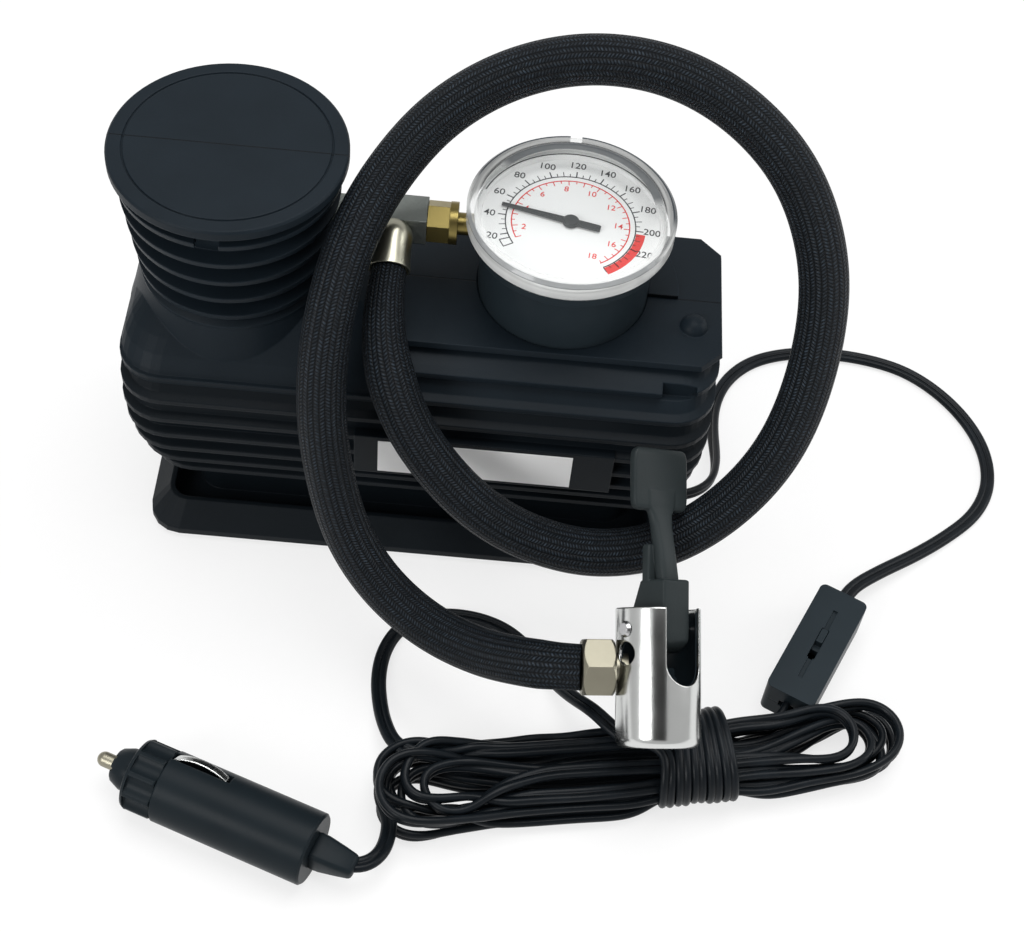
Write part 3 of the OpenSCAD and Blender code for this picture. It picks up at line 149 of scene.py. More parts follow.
# ---- Sizes and colours that a user would change ----


def length_property(name, description, default, low, high):
    return bpy.props.FloatProperty(name=name, description=description, default=default, min=low, max=high,
                                   subtype="DISTANCE", unit="LENGTH")


def colour_property(name, description, default):
    return bpy.props.FloatVectorProperty(name=name, description=description, default=default, size=3,
                                         subtype="COLOR", min=0, max=1)


class InflatorSizes(bpy.types.PropertyGroup):
    """Sizes of the hose and the cord."""

    hose_diameter: length_property(
        "Hose diameter", "Outside diameter of the braided hose", 0.0138, 0.013, 0.0138)
    braid_strands: bpy.props.IntProperty(
        name="Braid rows", description="Rows of slanted strands round the hose",
        default=26, min=12, max=36,
    )
    cord_width: length_property("Cord width", "Width of the flat twin cord", 0.0046, 0.004, 0.0048)
    cord_thickness: length_property(
        "Cord thickness", "Thickness of the flat twin cord", 0.0024, 0.002, 0.0024)


class InflatorColours(bpy.types.PropertyGroup):
    """Base colours of the finishes that show most."""

    shell: colour_property("Casing", "Colour of the moulded casing", (0.0085, 0.0135, 0.0185))
    braid: colour_property("Braid", "Colour of the hose's nylon braid", (0.0055, 0.0078, 0.0105))
    cord: colour_property("Cord", "Colour of the cord's jacket", (0.0058, 0.0082, 0.0108))
    dial: colour_property("Dial", "Colour of the dial's card", (0.93, 0.93, 0.925))
    dial_red: colour_property("Dial red", "Colour of the dial's red print", (0.75, 0.035, 0.03))


def sizes():
    return bpy.context.scene.inflator_sizes


def colours():
    return bpy.context.scene.inflator_colours


# ---- Materials ----


def fed_to(operation):
    """A method that feeds the value and another number to a Math node."""
    return lambda self, other: self.math(operation, other)


class Value:
    """One number that a material works out; sums on it become Math nodes."""

    def __init__(self, nodes, socket):
        self.nodes, self.socket = nodes, socket

    def math(self, operation, *others):
        inputs = dict(enumerate((self,) + others))
        return self.nodes.node("Math", {"operation": operation}, inputs)

    __add__ = __radd__ = fed_to("ADD")
    __sub__ = fed_to("SUBTRACT")
    __mul__ = fed_to("MULTIPLY")
    __truediv__ = fed_to("DIVIDE")
    __pow__ = fed_to("POWER")
    __lt__ = fed_to("LESS_THAN")
    __gt__ = fed_to("GREATER_THAN")

    def __rsub__(self, other):
        return self.nodes.node("Math", {"operation": "SUBTRACT"}, {0: other, 1: self})

    def fade(self, low, high, start=0.0, end=1.0):
        """From start to end, smoothly, as the number goes from low to high."""
        settings = {"interpolation_type": "SMOOTHSTEP"}
        return self.nodes.node("MapRange", settings, {0: self, 1: low, 2: high, 3: start, 4: end})


class Nodes:
    """A tree of nodes, with short ways to add to it."""

    def __init__(self, tree):
        self.tree = tree

    def put(self, socket, value):
        if isinstance(value, Value):
            self.tree.links.new(value.socket, socket)
        elif socket.type == "RGBA" and len(value) == 3:
            socket.default_value = (*value, 1)
        else:
            socket.default_value = value

    def node(self, kind, settings=None, inputs=None, out=0):
        made = self.tree.nodes.new("ShaderNode" + kind)
        for name, value in (settings or {}).items():
            setattr(made, name, value)
        for name, value in (inputs or {}).items():
            self.put(made.inputs[name], value)
        return Value(self, made.outputs[out])

    def outs(self, kind, names, inputs=None):
        """Several outputs of one new node."""
        outputs = self.node(kind, None, inputs).socket.node.outputs
        return [Value(self, outputs[name]) for name in names]


class Finish(Nodes):
    """A material round one Principled shader."""

    def __init__(self, name, shine=0.5, **sockets):
        self.material = bpy.data.materials.new(name)
        self.material.use_nodes = True
        super().__init__(self.material.node_tree)
        self.shader = self.tree.nodes["Principled BSDF"]
        self.body = Value(self, self.shader.outputs[0])
        for socket, value in {"Specular IOR Level": shine, **sockets}.items():
            self.set(socket, value)
        self.place = self.node("TexCoord", out="Object")

    def set(self, socket, value):
        self.put(self.shader.inputs[socket], value)

    def noise(self, scale, detail=2, rough=0.5, at=None):
        inputs = {"Vector": at or self.place, "Scale": scale, "Detail": detail, "Roughness": rough}
        return self.node("TexNoise", None, inputs)

    def blend(self, low, high, factor):
        """The colour low where factor is 0, and high where it is 1."""
        return self.node("Mix", {"data_type": "RGBA"}, {0: factor, 6: low, 7: high}, 2)

    def tinted(self, colour, low, high, factor):
        """Shades of one colour, from low to high times as bright."""
        return self.blend(shade(colour, low), shade(colour, high), factor)

    def apart(self, vector):
        """The X, Y and Z of a vector."""
        return self.outs("SeparateXYZ", range(3), {0: vector})

    def rounded(self, radius):
        """Normals softened near edges."""
        return self.node("Bevel", {"samples": 6}, {"Radius": radius})

    def edges(self, radius):
        """Softened normals, and how near each place is to an edge."""
        soft = self.rounded(radius)
        face = self.node("NewGeometry", out="Normal")
        same = self.node("VectorMath", {"operation": "DOT_PRODUCT"}, {0: soft, 1: face}, 1)
        return soft, (1 - same).fade(0.01, 0.22)

    def bump(self, height, depth, normal=None):
        inputs = {"Height": height, "Distance": depth}
        if normal is not None:
            inputs["Normal"] = normal
        self.set("Normal", self.node("Bump", None, inputs))

    def mix_with(self, factor, first, second):
        """Shows the first shader where factor is 0, and the second where it is 1."""
        mixed = self.node("MixShader", None, {0: factor, 1: first, 2: second})
        self.put(self.tree.nodes["Material Output"].inputs["Surface"], mixed)


def shade(colour, amount):
    """The colour, so many times as bright."""
    return tuple(min(1.0, c * amount) for c in colour)


def moulded(name, colour, rough, grain, depth, edge, wear=1.9, gloss=0.1):
    """Moulded plastic with a spark-eroded grain, softer and paler along its edges."""
    f = Finish(name, gloss)
    soft, near = f.edges(edge)
    grit = f.noise(grain, 3, 0.6)
    cloud = f.noise(45, 3, 0.55)
    body = f.tinted(colour, 0.78, 1.25, cloud)
    f.set("Base Color", f.blend(body, shade(colour, wear), near * grit))
    f.set("Roughness", rough + (cloud - 0.5) * 0.16 + (grit - 0.5) * 0.12 - near * 0.1)
    f.bump(grit, depth, soft)
    return f


def casing_finish():
    """Moulded casing, with painted shade on the smooth panels below its ribs, and a dark line along the seam
    of its halves.
    """
    colour = tuple(colours().shell)
    f = moulded("shell_black", colour, 0.46, 1900, 0.00004, 0.0006, 2.4)
    _, y, z = f.apart(f.place)
    seam = y.math("ABSOLUTE").fade(*SEAM, 1.0, 0.0) * (z > SEAM_FOOT)
    base = Value(f, f.shader.inputs["Base Color"].links[0].from_socket)
    # painted shade: the smooth panels below the ribs are darkened
    shaded_panels = f.blend(base, shade(colour, 0.35), z.fade(*RIBS_FROM, 1.0, 0.0) * 0.7)
    f.set("Base Color", f.blend(shaded_panels, shade(colour, 0.12), seam * 0.8))
    return f


def metal(name, colour, rough, edge, brush=0.0, spots=0.12):
    """Bare or plated metal with fine handling marks."""
    f = Finish(name, Metallic=1.0)
    soft, near = f.edges(edge)
    cloud = f.noise(90, 4, 0.6)
    fine = f.noise(1500)
    f.set("Base Color", f.tinted(colour, 1 - spots, 1.04, cloud))
    f.set("Roughness", rough + (cloud - 0.5) * rough * 0.7 + (fine - 0.5) * brush + near * 0.05)
    f.bump(fine, 0.000008 + 0.00003 * brush, soft)
    return f


def cast_finish():
    """Grainy die-cast metal."""
    f = metal("die_cast", (0.24, 0.26, 0.245), 0.42, 0.0004, 0.25, 0.25)
    grain = f.noise(700, 4, 0.65)
    pits = f.node("TexVoronoi", None, {"Vector": f.place, "Scale": 900.0})
    f.bump(grain * 0.7 + pits * 0.3, 0.00012, f.rounded(0.0004))
    return f


def braid_finish():
    """Nylon strands that slant one way and then the other, in rows along the hose, with painted shade in the
    hollows of the weave and painted sheen on the strands' crowns.
    """
    colour = tuple(colours().braid)
    count = sizes().braid_strands
    f = Finish("braid", 0.15)
    around, along, _ = f.apart(f.node("TexCoord", out="UV"))
    rows = around * count
    across = rows.math("FRACT")
    turn = rows.math("FLOOR").math("PINGPONG", 1) * 2 - 1
    strand = (along * count * 1.75 + (across - 0.5) * turn * 0.8).math("FRACT")
    crown = (strand * math.pi).math("SINE")
    ridge = (across * math.pi).math("SINE") ** 0.6
    height = ridge * (0.25 + crown * 0.75)
    speck = f.noise(800)
    # painted sheen: the strands' crowns are lit up in patches
    sheen_patches = f.noise(90, 3, 0.55)
    lit = height.fade(0.55, 1.0) * speck.fade(0.35, 0.7)
    # painted shade: the weave is darker in its hollows between the strands
    dark = f.tinted(colour, 0.3, 1.1, height.fade(0.1, 0.7))
    f.set("Base Color", f.blend(dark, shade(colour, 7.5), lit * sheen_patches.fade(0.3, 0.7, 0.35, 0.75)))
    f.set("Roughness", 0.6 - height * 0.18 + (speck - 0.5) * 0.2)
    f.bump(height + speck * 0.12, 0.0004)
    return f


def cord_finish():
    """Soft PVC jacket, drawn through its die, with faint dust."""
    colour = tuple(colours().cord)
    f = Finish("cord", 0.15)
    around = f.apart(f.node("TexCoord", out="UV"))[0]
    dust = f.noise(60, 4, 0.6)
    fine = f.noise(1400)
    f.set("Base Color", f.tinted(colour, 0.85, 2.2, dust.fade(0.45, 0.8) * 0.5))
    f.set("Roughness", 0.36 + (dust - 0.5) * 0.25 + (fine - 0.5) * 0.1)
    f.bump((around * 90).math("SINE") * 0.5 + fine, 0.00002)
    return f


def clear_finish():
    """Clear moulded plastic: see-through on its face, with painted pale light in its thick rim and painted
    dark reflections at the rim's far side.
    """
    f = Finish("clear", 0.4, Roughness=0.08)
    x, y, z = f.apart(f.place)
    across, back = [(v - at * MM) / (LENS_R * MM) for v, at in zip((x, y), GAUGE_AT)]
    radius = (across ** 2 + back ** 2).math("SQRT")
    away = (across * 0.22 + back * 0.97) / radius
    level = LENS_TOP * MM
    top = z > level - 0.0003
    far = away.fade(-0.1, 0.25)
    # painted dark reflections: rings on the rim's far side, and a foot ring on its near side
    outer = radius.fade(*OUTER_RING) * far
    inner = radius.fade(*INNER_RING[0]) * radius.fade(*INNER_RING[1], 1.0, 0.0) * away.fade(0.25, 0.5) * top
    foot = radius.fade(*FOOT_RING) * away.fade(-0.45, -0.2, 1.0, 0.0) * (z > level - 0.0012)
    dark = (outer + inner * 0.9 + foot * 0.7).math("MINIMUM", 1.0)
    # painted light: the pale rim with streaks, the step inside it, and the inner wall on the far side
    streak = f.noise(26, 3, 0.6, f.node("CombineXYZ", None, {0: radius * 0.9, 1: away * 0.04, 2: z * 12}))
    rim = radius.fade(*RIM_RING)
    inside = radius.fade(*WALL_RING[0]) * (1 - radius.fade(*WALL_RING[1])) * (z < level - 0.0015)
    painted_rim_light = rim * streak.fade(0.2, 0.7, 0.55, 0.88) + inside * far * 0.8
    painted_rim_light = painted_rim_light + radius.fade(*STEP_RING) * (1 - rim) * top * streak.fade(0.3, 0.7, 0.25, 0.6)
    # the pale colour is the painted light, the dark colour the painted reflections
    f.set("Base Color", f.blend((0.76, 0.77, 0.76), (0.04, 0.05, 0.06), dark))
    seen = f.node("BsdfTransparent", None, {"Color": (0.985, 0.99, 0.99)})
    f.mix_with((0.03 + painted_rim_light + dark * 0.9).math("MINIMUM", 0.92), seen, f.body)
    return f


def card_finish():
    """Printed card under the lens."""
    colour = tuple(colours().dial)
    f = Finish("dial_white", 0.3)
    grain = f.noise(1100, 3, 0.6)
    tone = f.noise(70, 3, 0.5)
    f.set("Base Color", f.tinted(colour, 0.95, 1.03, tone))
    f.set("Roughness", 0.55 + (grain - 0.5) * 0.15)
    f.bump(grain, 0.00001)
    return f


def print_finish(name, colour):
    """Ink on card."""
    f = Finish(name, 0.4)
    ink = f.noise(1800, 3, 0.6)
    f.set("Base Color", f.tinted(colour, 0.85, 1.2, ink))
    f.set("Roughness", 0.45 + (ink - 0.5) * 0.2)
    return f


def windings_finish():
    """Laminated core with enamelled copper round it."""
    f = metal("copper", (0.55, 0.24, 0.10), 0.3, 0.0003, 0.1, 0.2)
    f.bump((f.apart(f.place)[0] * 9000).math("SINE"), 0.00008)
    return f


BLACK = (0.017, 0.0245, 0.030)
MOULDED = {  # colour, roughness, grain, its depth, edges, wear on them, shine
    "base_black": ((0.006, 0.0088, 0.0115), 0.5, 1500, 0.00005, 0.0007),
    "rubber_black": ((0.012, 0.012, 0.012), 0.62, 2400, 0.00002, 0.0005),
    "white_plastic": ((0.8, 0.8, 0.76), 0.4, 1200, 0.00001, 0.0003, 1.05),
    "gloss_black": (BLACK, 0.35, 1300, 0.000012, 0.0004, 2.2, 0.08),
    "plug_black": (shade(BLACK, 0.58), 0.35, 1300, 0.000012, 0.0004, 2.2, 0.08),
    "lever_grey": ((0.0205, 0.0265, 0.028), 0.42, 1500, 0.00003, 0.0005, 1.8, 0.15),
    "carbon": ((0.03, 0.03, 0.03), 0.5, 2500, 0.00004, 0.0002),
    "gasket": ((0.32, 0.10, 0.04), 0.8, 2200, 0.00004, 0.0002, 1.2),
}
METALS = {  # colour, roughness, edges, brushing, spots
    "steel": ((0.56, 0.56, 0.57), 0.24, 0.0002, 0.1),
    "zinc": ((0.50, 0.50, 0.53), 0.32, 0.00015, 0.15, 0.2),
    "alloy": ((0.68, 0.69, 0.70), 0.28, 0.0002, 0.12),
    # dark brass: partly aged, partly painted shade that stands in for the dark it reflects
    "brass": ((0.27, 0.215, 0.075), 0.35, 0.0002, 0.12, 0.2),
    "nickel": ((0.52, 0.51, 0.41), 0.3, 0.0003, 0.06),
    "worn_nickel": ((0.34, 0.32, 0.25), 0.38, 0.0004, 0.1, 0.3),
    "chrome": ((0.66, 0.67, 0.66), 0.2, 0.0004, 0.02, 0.05),
}
FINISHES = {}


def make_finishes():
    FINISHES.update({name: moulded(name, *looks) for name, looks in MOULDED.items()})
    FINISHES.update({name: metal(name, *looks) for name, looks in METALS.items()})
    FINISHES.update({
        "shell_black": casing_finish(),
        "die_cast": cast_finish(),
        "clear": clear_finish(),
        "dial_white": card_finish(),
        "braid": braid_finish(),
        "cord": cord_finish(),
        "copper": windings_finish(),
        "ink": print_finish("ink", (0.035, 0.037, 0.042)),
        "needle": print_finish("needle", (0.03, 0.034, 0.037)),
        "ink_red": print_finish("ink_red", tuple(colours().dial_red)),
        "label": card_finish(),
    })


def dress(piece, slot, finish=None, body="casing"):
    """Gives a new piece the finish named for its slot, or the other finish given, and lets it ride on a body.
    """
    piece.data.materials.clear()
    piece.data.materials.append(FINISHES[finish or slot].material)
    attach(piece, body)


# ---- Cords and hose ----


def curve_through(points):
    """Close points on one smooth curve through the route (centripetal Catmull-Rom)."""
    p = np.array(points, float)
    p = np.vstack([2 * p[0] - p[1], p, 2 * p[-1] - p[-2]])
    gaps = np.linalg.norm(np.diff(p, axis=0), axis=1) ** 0.5
    knot = np.concatenate([[0], np.cumsum(gaps)])
    out = []
    for i in range(1, len(p) - 2):
        t = np.linspace(knot[i], knot[i + 1], 24, endpoint=False)[:, None]

        def between(a, b, low, high):
            gap = knot[high] - knot[low]
            return (knot[high] - t) / gap * a + (t - knot[low]) / gap * b

        a1 = between(p[i - 1], p[i], i - 1, i)
        a2 = between(p[i], p[i + 1], i, i + 1)
        a3 = between(p[i + 1], p[i + 2], i + 1, i + 2)
        b1 = between(a1, a2, i - 1, i + 1)
        b2 = between(a2, a3, i, i + 2)
        out.append(between(b1, b2, i, i + 1))
    return np.vstack(out + [p[-2:-1]])


def lengths(line):
    """How far along the line each of its places is."""
    return np.concatenate([[0], np.cumsum(np.linalg.norm(np.diff(line, axis=0), axis=1))])


def evenly(line, step, *others):
    """The line, and values along it, again at even steps."""
    at = lengths(line)
    count = max(2, round(at[-1] / step) + 1)
    to = np.linspace(0, at[-1], count)
    made = [np.stack([np.interp(to, at, v[:, i]) for i in range(v.shape[1])], 1) for v in (line,) + others]
    return made if others else made[0]


def relaxed(route, step, spread):
    """The smoothed curve through a route in millimetres, at even steps, in metres."""
    return evenly(smoothed(evenly(curve_through(route), step), spread), step) * MM


def directions(line):
    d = np.gradient(line, axis=0)
    return d / np.linalg.norm(d, axis=1)[:, None]


def square_to(line, wide):
    """The wide axes turned square to the line, each on the same side as the last."""
    along = directions(line)
    wide = wide - (wide * along).sum(1)[:, None] * along
    wide = wide / np.maximum(np.linalg.norm(wide, axis=1)[:, None], 1e-9)
    for i in range(1, len(wide)):
        if wide[i] @ wide[i - 1] < 0:
            wide[i] = -wide[i]
    return wide


def carried(line, first):
    """Axes that don't twist along the line."""
    along = directions(line)
    wide = np.zeros_like(line)
    wide[0] = first
    for i in range(len(line)):
        if i:
            wide[i] = wide[i - 1]
        wide[i] -= (wide[i] @ along[i]) * along[i]
        wide[i] /= np.linalg.norm(wide[i])
    return wide


def smoothed(values, spread):
    """Values averaged along the line; its ends stay."""
    reach = int(3 * spread)
    weight = np.exp(-0.5 * (np.arange(-reach, reach + 1) / spread) ** 2)
    weight /= weight.sum()
    low = 2 * values[0] - values[reach:0:-1]
    high = 2 * values[-1] - values[-2:-reach - 2:-1]
    padded = np.vstack([low, values, high])
    return np.stack([np.convolve(padded[:, i], weight, "valid") for i in range(values.shape[1])], 1)


def swept(name, line, wide, section, scale, repeat):
    """A tube of one section along the line (metres), with a UV map that follows it."""
    along = directions(line)
    thick = np.cross(along, wide)
    m, n = len(section), len(line)
    ring = scale[:, None, None] * (
        wide[:, None, :] * section[None, :, 0:1] + thick[:, None, :] * section[None, :, 1:2]
    )
    verts = (line[:, None, :] + ring).reshape(-1, 3)
    i, j = np.meshgrid(np.arange(n - 1), np.arange(m), indexing="ij")
    k = (j + 1) % m
    faces = np.stack([i * m + j, i * m + k, (i + 1) * m + k, (i + 1) * m + j], -1).reshape(-1, 4)
    caps = [list(range(m))[::-1], [(n - 1) * m + q for q in range(m)]]
    mesh = bpy.data.meshes.new(name)
    mesh.from_pydata(verts.tolist(), [], faces.tolist() + caps)
    s = lengths(line) / repeat
    uv = mesh.uv_layers.new(name="lay")
    around = np.stack([j / m, (j + 1) / m, (j + 1) / m, j / m], -1)
    down = np.stack([s[i], s[i], s[i + 1], s[i + 1]], -1)
    flat = np.zeros((len(mesh.loops), 2))
    flat[: faces.size] = np.stack([around, down], -1).reshape(-1, 2)
    uv.data.foreach_set("uv", flat.ravel())
    mesh.polygons.foreach_set("use_smooth", [True] * len(mesh.polygons))
    mesh.update()
    piece = bpy.data.objects.new(name, mesh)
    bpy.context.scene.collection.objects.link(piece)
    return piece


def twin_section(width, thick):
    """Two round cores side by side, joined by a narrow web."""
    r = thick / 2
    off = width / 2 - r
    groove = r * 0.62
    start = math.acos(max(-1, -off / r)) if off < r else math.pi * 0.78
    right = [(off + r * math.cos(a), r * math.sin(a)) for a in np.linspace(-start, start, 11)]
    left = [(-x, -y) for x, y in right]
    return np.array([(0, -groove)] + right + [(0, groove)] + left)


def into_frame(points):
    """Places in the part's frame from places in the hank (along, across, up), in millimetres."""
    u, v, z = np.array(points, float).T
    c, s = math.cos(HANK_TURN), math.sin(HANK_TURN)
    return np.stack([HANK_AT[0] + c * u - s * v, HANK_AT[1] + s * u + c * v, z], 1)


def into_hank(points):
    """Places in the hank from places in the part's frame."""
    p = np.array(points, float)
    c, s = math.cos(HANK_TURN), math.sin(HANK_TURN)
    x, y = p[:, 0] - HANK_AT[0], p[:, 1] - HANK_AT[1]
    return np.stack([c * x + s * y, -s * x + c * y, p[:, 2]], 1)


# End turns (along, radius, up, across) and the middles (across, up) of the runs between them
LEFT_TURNS = [(-66, 9.6, 2.4, -3.0), (-64, 8.8, 2.6, 3.0), (-66.5, 9.7, 9.7, 3.6), (-61.5, 8.6, 8.6, -2.4),
              (-65.5, 10.9, 14.4, -2.5), (-60.5, 8.4, 12.6, 1.6), (-55.5, 8.4, 11.2, -1.4)]
RIGHT_TURNS = [(68.6, 9.4, 2.4, 3.4), (66, 8.4, 2.6, 5.2), (63.5, 9.2, 7.2, 0.2), (65, 8.4, 7.2, 3.4),
               (68.3, 9.8, 12.2, 2.4), (60.5, 8.4, 11.8, -0.6), (55.5, 8.2, 14.6, 1.8)]
LAST_TURN = (-63.5, 11.8, 6.0, 0)
FRONT_RUNS = [(-9.5, 1.5), (-4.4, 1.5), (-11.3, 5.2), (-6.2, 4.4), (-10.8, 9.6), (-8.0, 12.8), (-3.2, 14.8)]
BACK_RUNS = [(3.4, 1.5), (8.6, 4.4), (-0.4, 5.0), (4.4, 7.6), (10.4, 8.4), (-0.8, 11.4), (6.4, 13.6)]
# Ways in and out (along, across, up, tilt)
HANK_IN = [(34, 10.6, 5.6, 50), (16, 9.2, 4.4, 80), (-6, 6.2, 3.2, 80), (-30, 0.8, 1.8, 30),
           (-48, 1.0, 2.0, 10)]
HANK_OUT = [(42, 7.6, 14.8, 60), (30, 8.0, 14.0, 90), (14, 6.4, 13.6, 90), (-8, 6.0, 13.4, 90),
            (-30, 7.0, 12.6, 90), (-48, 8.0, 11.6, 80), (-59, 9.0, 10.6, 70)]
BIND_OUT = [(27.6, 12.2, 8.6, 0), (21, 11.0, 10.4, 0), (8, 10.6, 10.6, 0), (-12, 10.6, 9.6, 0),
            (-34, 10.8, 7.6, 20), (-52, 11.6, 6.2, 80)]
BIND_U = (6.4, 25.4)
BIND_SIZE = (13.4, 9.6, 11.0)
BIND_WALL = 2.5
BIND_START = 97
BIND_TURNS = 4.6
BIND_PARTS = 10
BIND_LEAN = 2.6
BIND_REACH = (3, 29)
SQUARENESS = 2.35
BOUND = 2000  # the tilt of places whose wide axis lies along the hank
RUN_SHARES = (0.1, 0.22, 0.36, 0.5, 0.64, 0.78, 0.9)
RUN_EASE = 0.2
RUN_WAVE = 0.9
FIXED_PLACES = 4

# How the strands settle: nearest line places that may meet, longest push, and sink of each round
MEET_FROM = 4
PUSH_MAX = 0.8
SINK = 0.05
SETTLE_ROUNDS = 24


def bind_place(turn, extra):
    """A place on the outside of the binding, after so many turns from its top."""
    wide, tall, mid = BIND_SIZE
    angle = math.radians(BIND_START) + turn * 2 * math.pi
    c, s = math.cos(angle), math.sin(angle)
    power = 2 / SQUARENESS
    v = (wide + extra) * math.copysign(abs(c) ** power, c)
    z = mid + (tall + extra) * math.copysign(abs(s) ** power, s)
    return v, z


def run_places(left, right, mid, side):
    """Places along one run of the hank, from its left turn to its right, on the side -1 or 1."""
    (a, a_r, a_z, a_v), (b, b_r, b_z, b_v) = left, right
    out = []
    for t in RUN_SHARES:
        u = a + t * (b - a)
        w = min(1.0, min(t, 1 - t) / RUN_EASE)
        w = w * w * (3 - 2 * w)
        v, z = (a_v + side * a_r, a_z) if t < 0.5 else (b_v + side * b_r, b_z)
        v = (1 - w) * v + w * mid[0] + RUN_WAVE * w * math.sin(u * 0.07 + mid[0] * 1.7 + mid[1])
        out.append((u, v, (1 - w) * z + w * mid[1], 90 * w))
    return out


def turn_places(turn, start, end):
    """Places round one end of the hank, from one angle to the other, in degrees."""
    u, radius, z, v = turn
    angles = [math.radians(a) for a in np.linspace(start, end, 6)]
    return [(u + radius * math.cos(a), v + radius * math.sin(a), z, 0) for a in angles]


def lead_line():
    """The long lead's places from the switch to the plug, and where its hank, binding and way back end."""
    places = [(*p, 0) for p in into_hank(LEAD_ROUTE)] + HANK_IN
    for k, (left, right) in enumerate(zip(LEFT_TURNS, RIGHT_TURNS)):
        places += turn_places(left, 90, 270)
        places += run_places(left, right, FRONT_RUNS[k], -1)
        places += turn_places(right, -90, 90)
        if k + 1 < len(LEFT_TURNS):
            places += run_places(LEFT_TURNS[k + 1], right, BACK_RUNS[k], 1)[::-1]
    places += HANK_OUT
    hank = len(places)
    places += [(*p, 90) for p in into_hank(LOOP_ROUTE)[:-1]]
    for i in range(round(BIND_TURNS * BIND_PARTS) + 1):
        t = i / BIND_PARTS
        v, z = bind_place(t, 0.25 * math.sin(2.1 * t))
        lean = BIND_LEAN * v / BIND_SIZE[0] * (1 - t / BIND_TURNS)
        places.append((BIND_U[0] + (BIND_U[1] - BIND_U[0]) * t / BIND_TURNS + lean, v, z, BOUND))
    bound = len(places)
    places += BIND_OUT + [(u, v, z, 90) for u, v, z, _ in turn_places(LAST_TURN, 90, 196)]
    back = len(places)
    places += [(*p, 90) for p in into_hank(TAIL_ROUTE)]
    return places, hank, bound, back


def wide_axes(line, tilt):
    """Wide axes at a tilt from upright, in degrees, or along the hank where the tilt is BOUND."""
    along = directions(line)
    up = np.array([0, 0, 1.0])
    tall = up - (along @ up)[:, None] * along
    tall /= np.maximum(np.linalg.norm(tall, axis=1)[:, None], 1e-6)
    side = np.cross(along, tall)
    a = np.radians(np.minimum(tilt, 90))[:, None]
    leaning = np.cos(a) * tall + np.sin(a) * side
    bound = np.clip(tilt / (BOUND / 2), 0, 1)[:, None]
    return (1 - bound) * leaning + bound * np.array([1.0, 0, 0])


def settle(line, wide, free, rounds):
    """Lets the strands push each other apart, sink, and rest on the table."""
    core = (sizes().cord_width - sizes().cord_thickness) / 2 / MM
    reach = sizes().cord_thickness / MM
    n = len(line)
    inner = [size - BIND_WALL for size in BIND_SIZE[:2]]
    for _ in range(rounds):
        cores = np.vstack([line + core * wide, line - core * wide])
        tree = KDTree(2 * n)
        for i, p in enumerate(cores):
            tree.insert(p, i)
        tree.balance()
        push = np.zeros_like(cores)
        for i in range(2 * n):
            for p, j, gap in tree.find_range(cores[i], reach):
                if j > i and abs(i % n - j % n) > MEET_FROM:
                    away = (cores[i] - np.array(p)) / max(gap, 1e-3)
                    step = away * (reach - gap) * 0.5
                    push[i] += step
                    push[j] -= step
        push = np.clip(push, -PUSH_MAX, PUSH_MAX)
        before = line
        line = line + (push[:n] + push[n:]) / 2 * free
        line[:, 2] -= SINK * free[:, 0]
        wide = wide + smoothed((push[:n] - push[n:]) / (2 * core) * free * 0.6, 2)
        bound = (line[:, 0] > BIND_REACH[0]) & (line[:, 0] < BIND_REACH[1]) & (free[:, 0] > 0.5)
        v, z = line[bound, 1] / inner[0], (line[bound, 2] - BIND_SIZE[2]) / inner[1]
        out = (np.abs(v) ** SQUARENESS + np.abs(z) ** SQUARENESS) ** (1 / SQUARENESS)
        fit = np.maximum(out, 1.0)
        line[bound, 1] = v / fit * inner[0]
        line[bound, 2] = z / fit * inner[1] + BIND_SIZE[2]
        line = before + smoothed(line - before, 2.5) * free
        wide = square_to(line, wide)
        low = reach / 2 + core * np.abs(wide[:, 2])
        line[:, 2] = np.maximum(line[:, 2], low + SINK)
    return line, wide


def long_lead():
    """Centreline and wide axes of the long lead, in metres."""
    places, hank, bound, back = lead_line()
    places = np.array(places, float)
    tilt = places[:, 3]
    loose = np.ones(len(places))
    loose[:FIXED_PLACES] = loose[hank:bound] = loose[back:] = 0
    fine = curve_through(places[:, :3])
    spread = np.linspace(0, len(places) - 1, len(fine))
    extra = np.stack([np.interp(spread, range(len(places)), v) for v in (tilt, loose)], 1)
    line, extra = evenly(fine, 2.0, extra)
    line = smoothed(line, 1.2)
    wide = square_to(line, wide_axes(line, extra[:, 0]))
    wide = square_to(line, smoothed(wide, 3))
    free = np.clip(smoothed(np.clip(extra[:, 1:2], 0, 1), 3), 0, 1)
    line, wide = settle(line, wide, free, SETTLE_ROUNDS)
    line, wide = evenly(line, 1.25, wide)
    line = smoothed(line, 1.5)
    wide = square_to(line, smoothed(wide, 2))
    world = into_frame(line) * MM
    return world, square_to(world, into_frame(line + wide) * MM - world)


class INFLATOR_OT_hose(bpy.types.Operator):
    """Lay the braided air hose from the elbow's sleeve to the chuck's nut"""

    bl_idname = "inflator.hose"
    bl_label = "Braided air hose"

    def execute(self, context):
        d = sizes().hose_diameter
        line = relaxed(HOSE_ROUTE, 1.0, 4)
        wide = carried(line, np.array([1.0, 0, 0]))
        at = lengths(line)
        stops = [far for far, _ in HOSE_NECK] + [at[-1] - far for far, _ in HOSE_END]
        scale = np.interp(at, stops, [share for _, share in HOSE_NECK + HOSE_END])
        angles = np.linspace(0, 2 * math.pi, 40, endpoint=False)
        section = np.stack([np.cos(angles), np.sin(angles)], 1) * d / 2
        hose = swept("braided_hose", line, wide, section, scale, math.pi * d)
        dress(hose, "braid")
        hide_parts("air_hose")
        return {"FINISHED"}


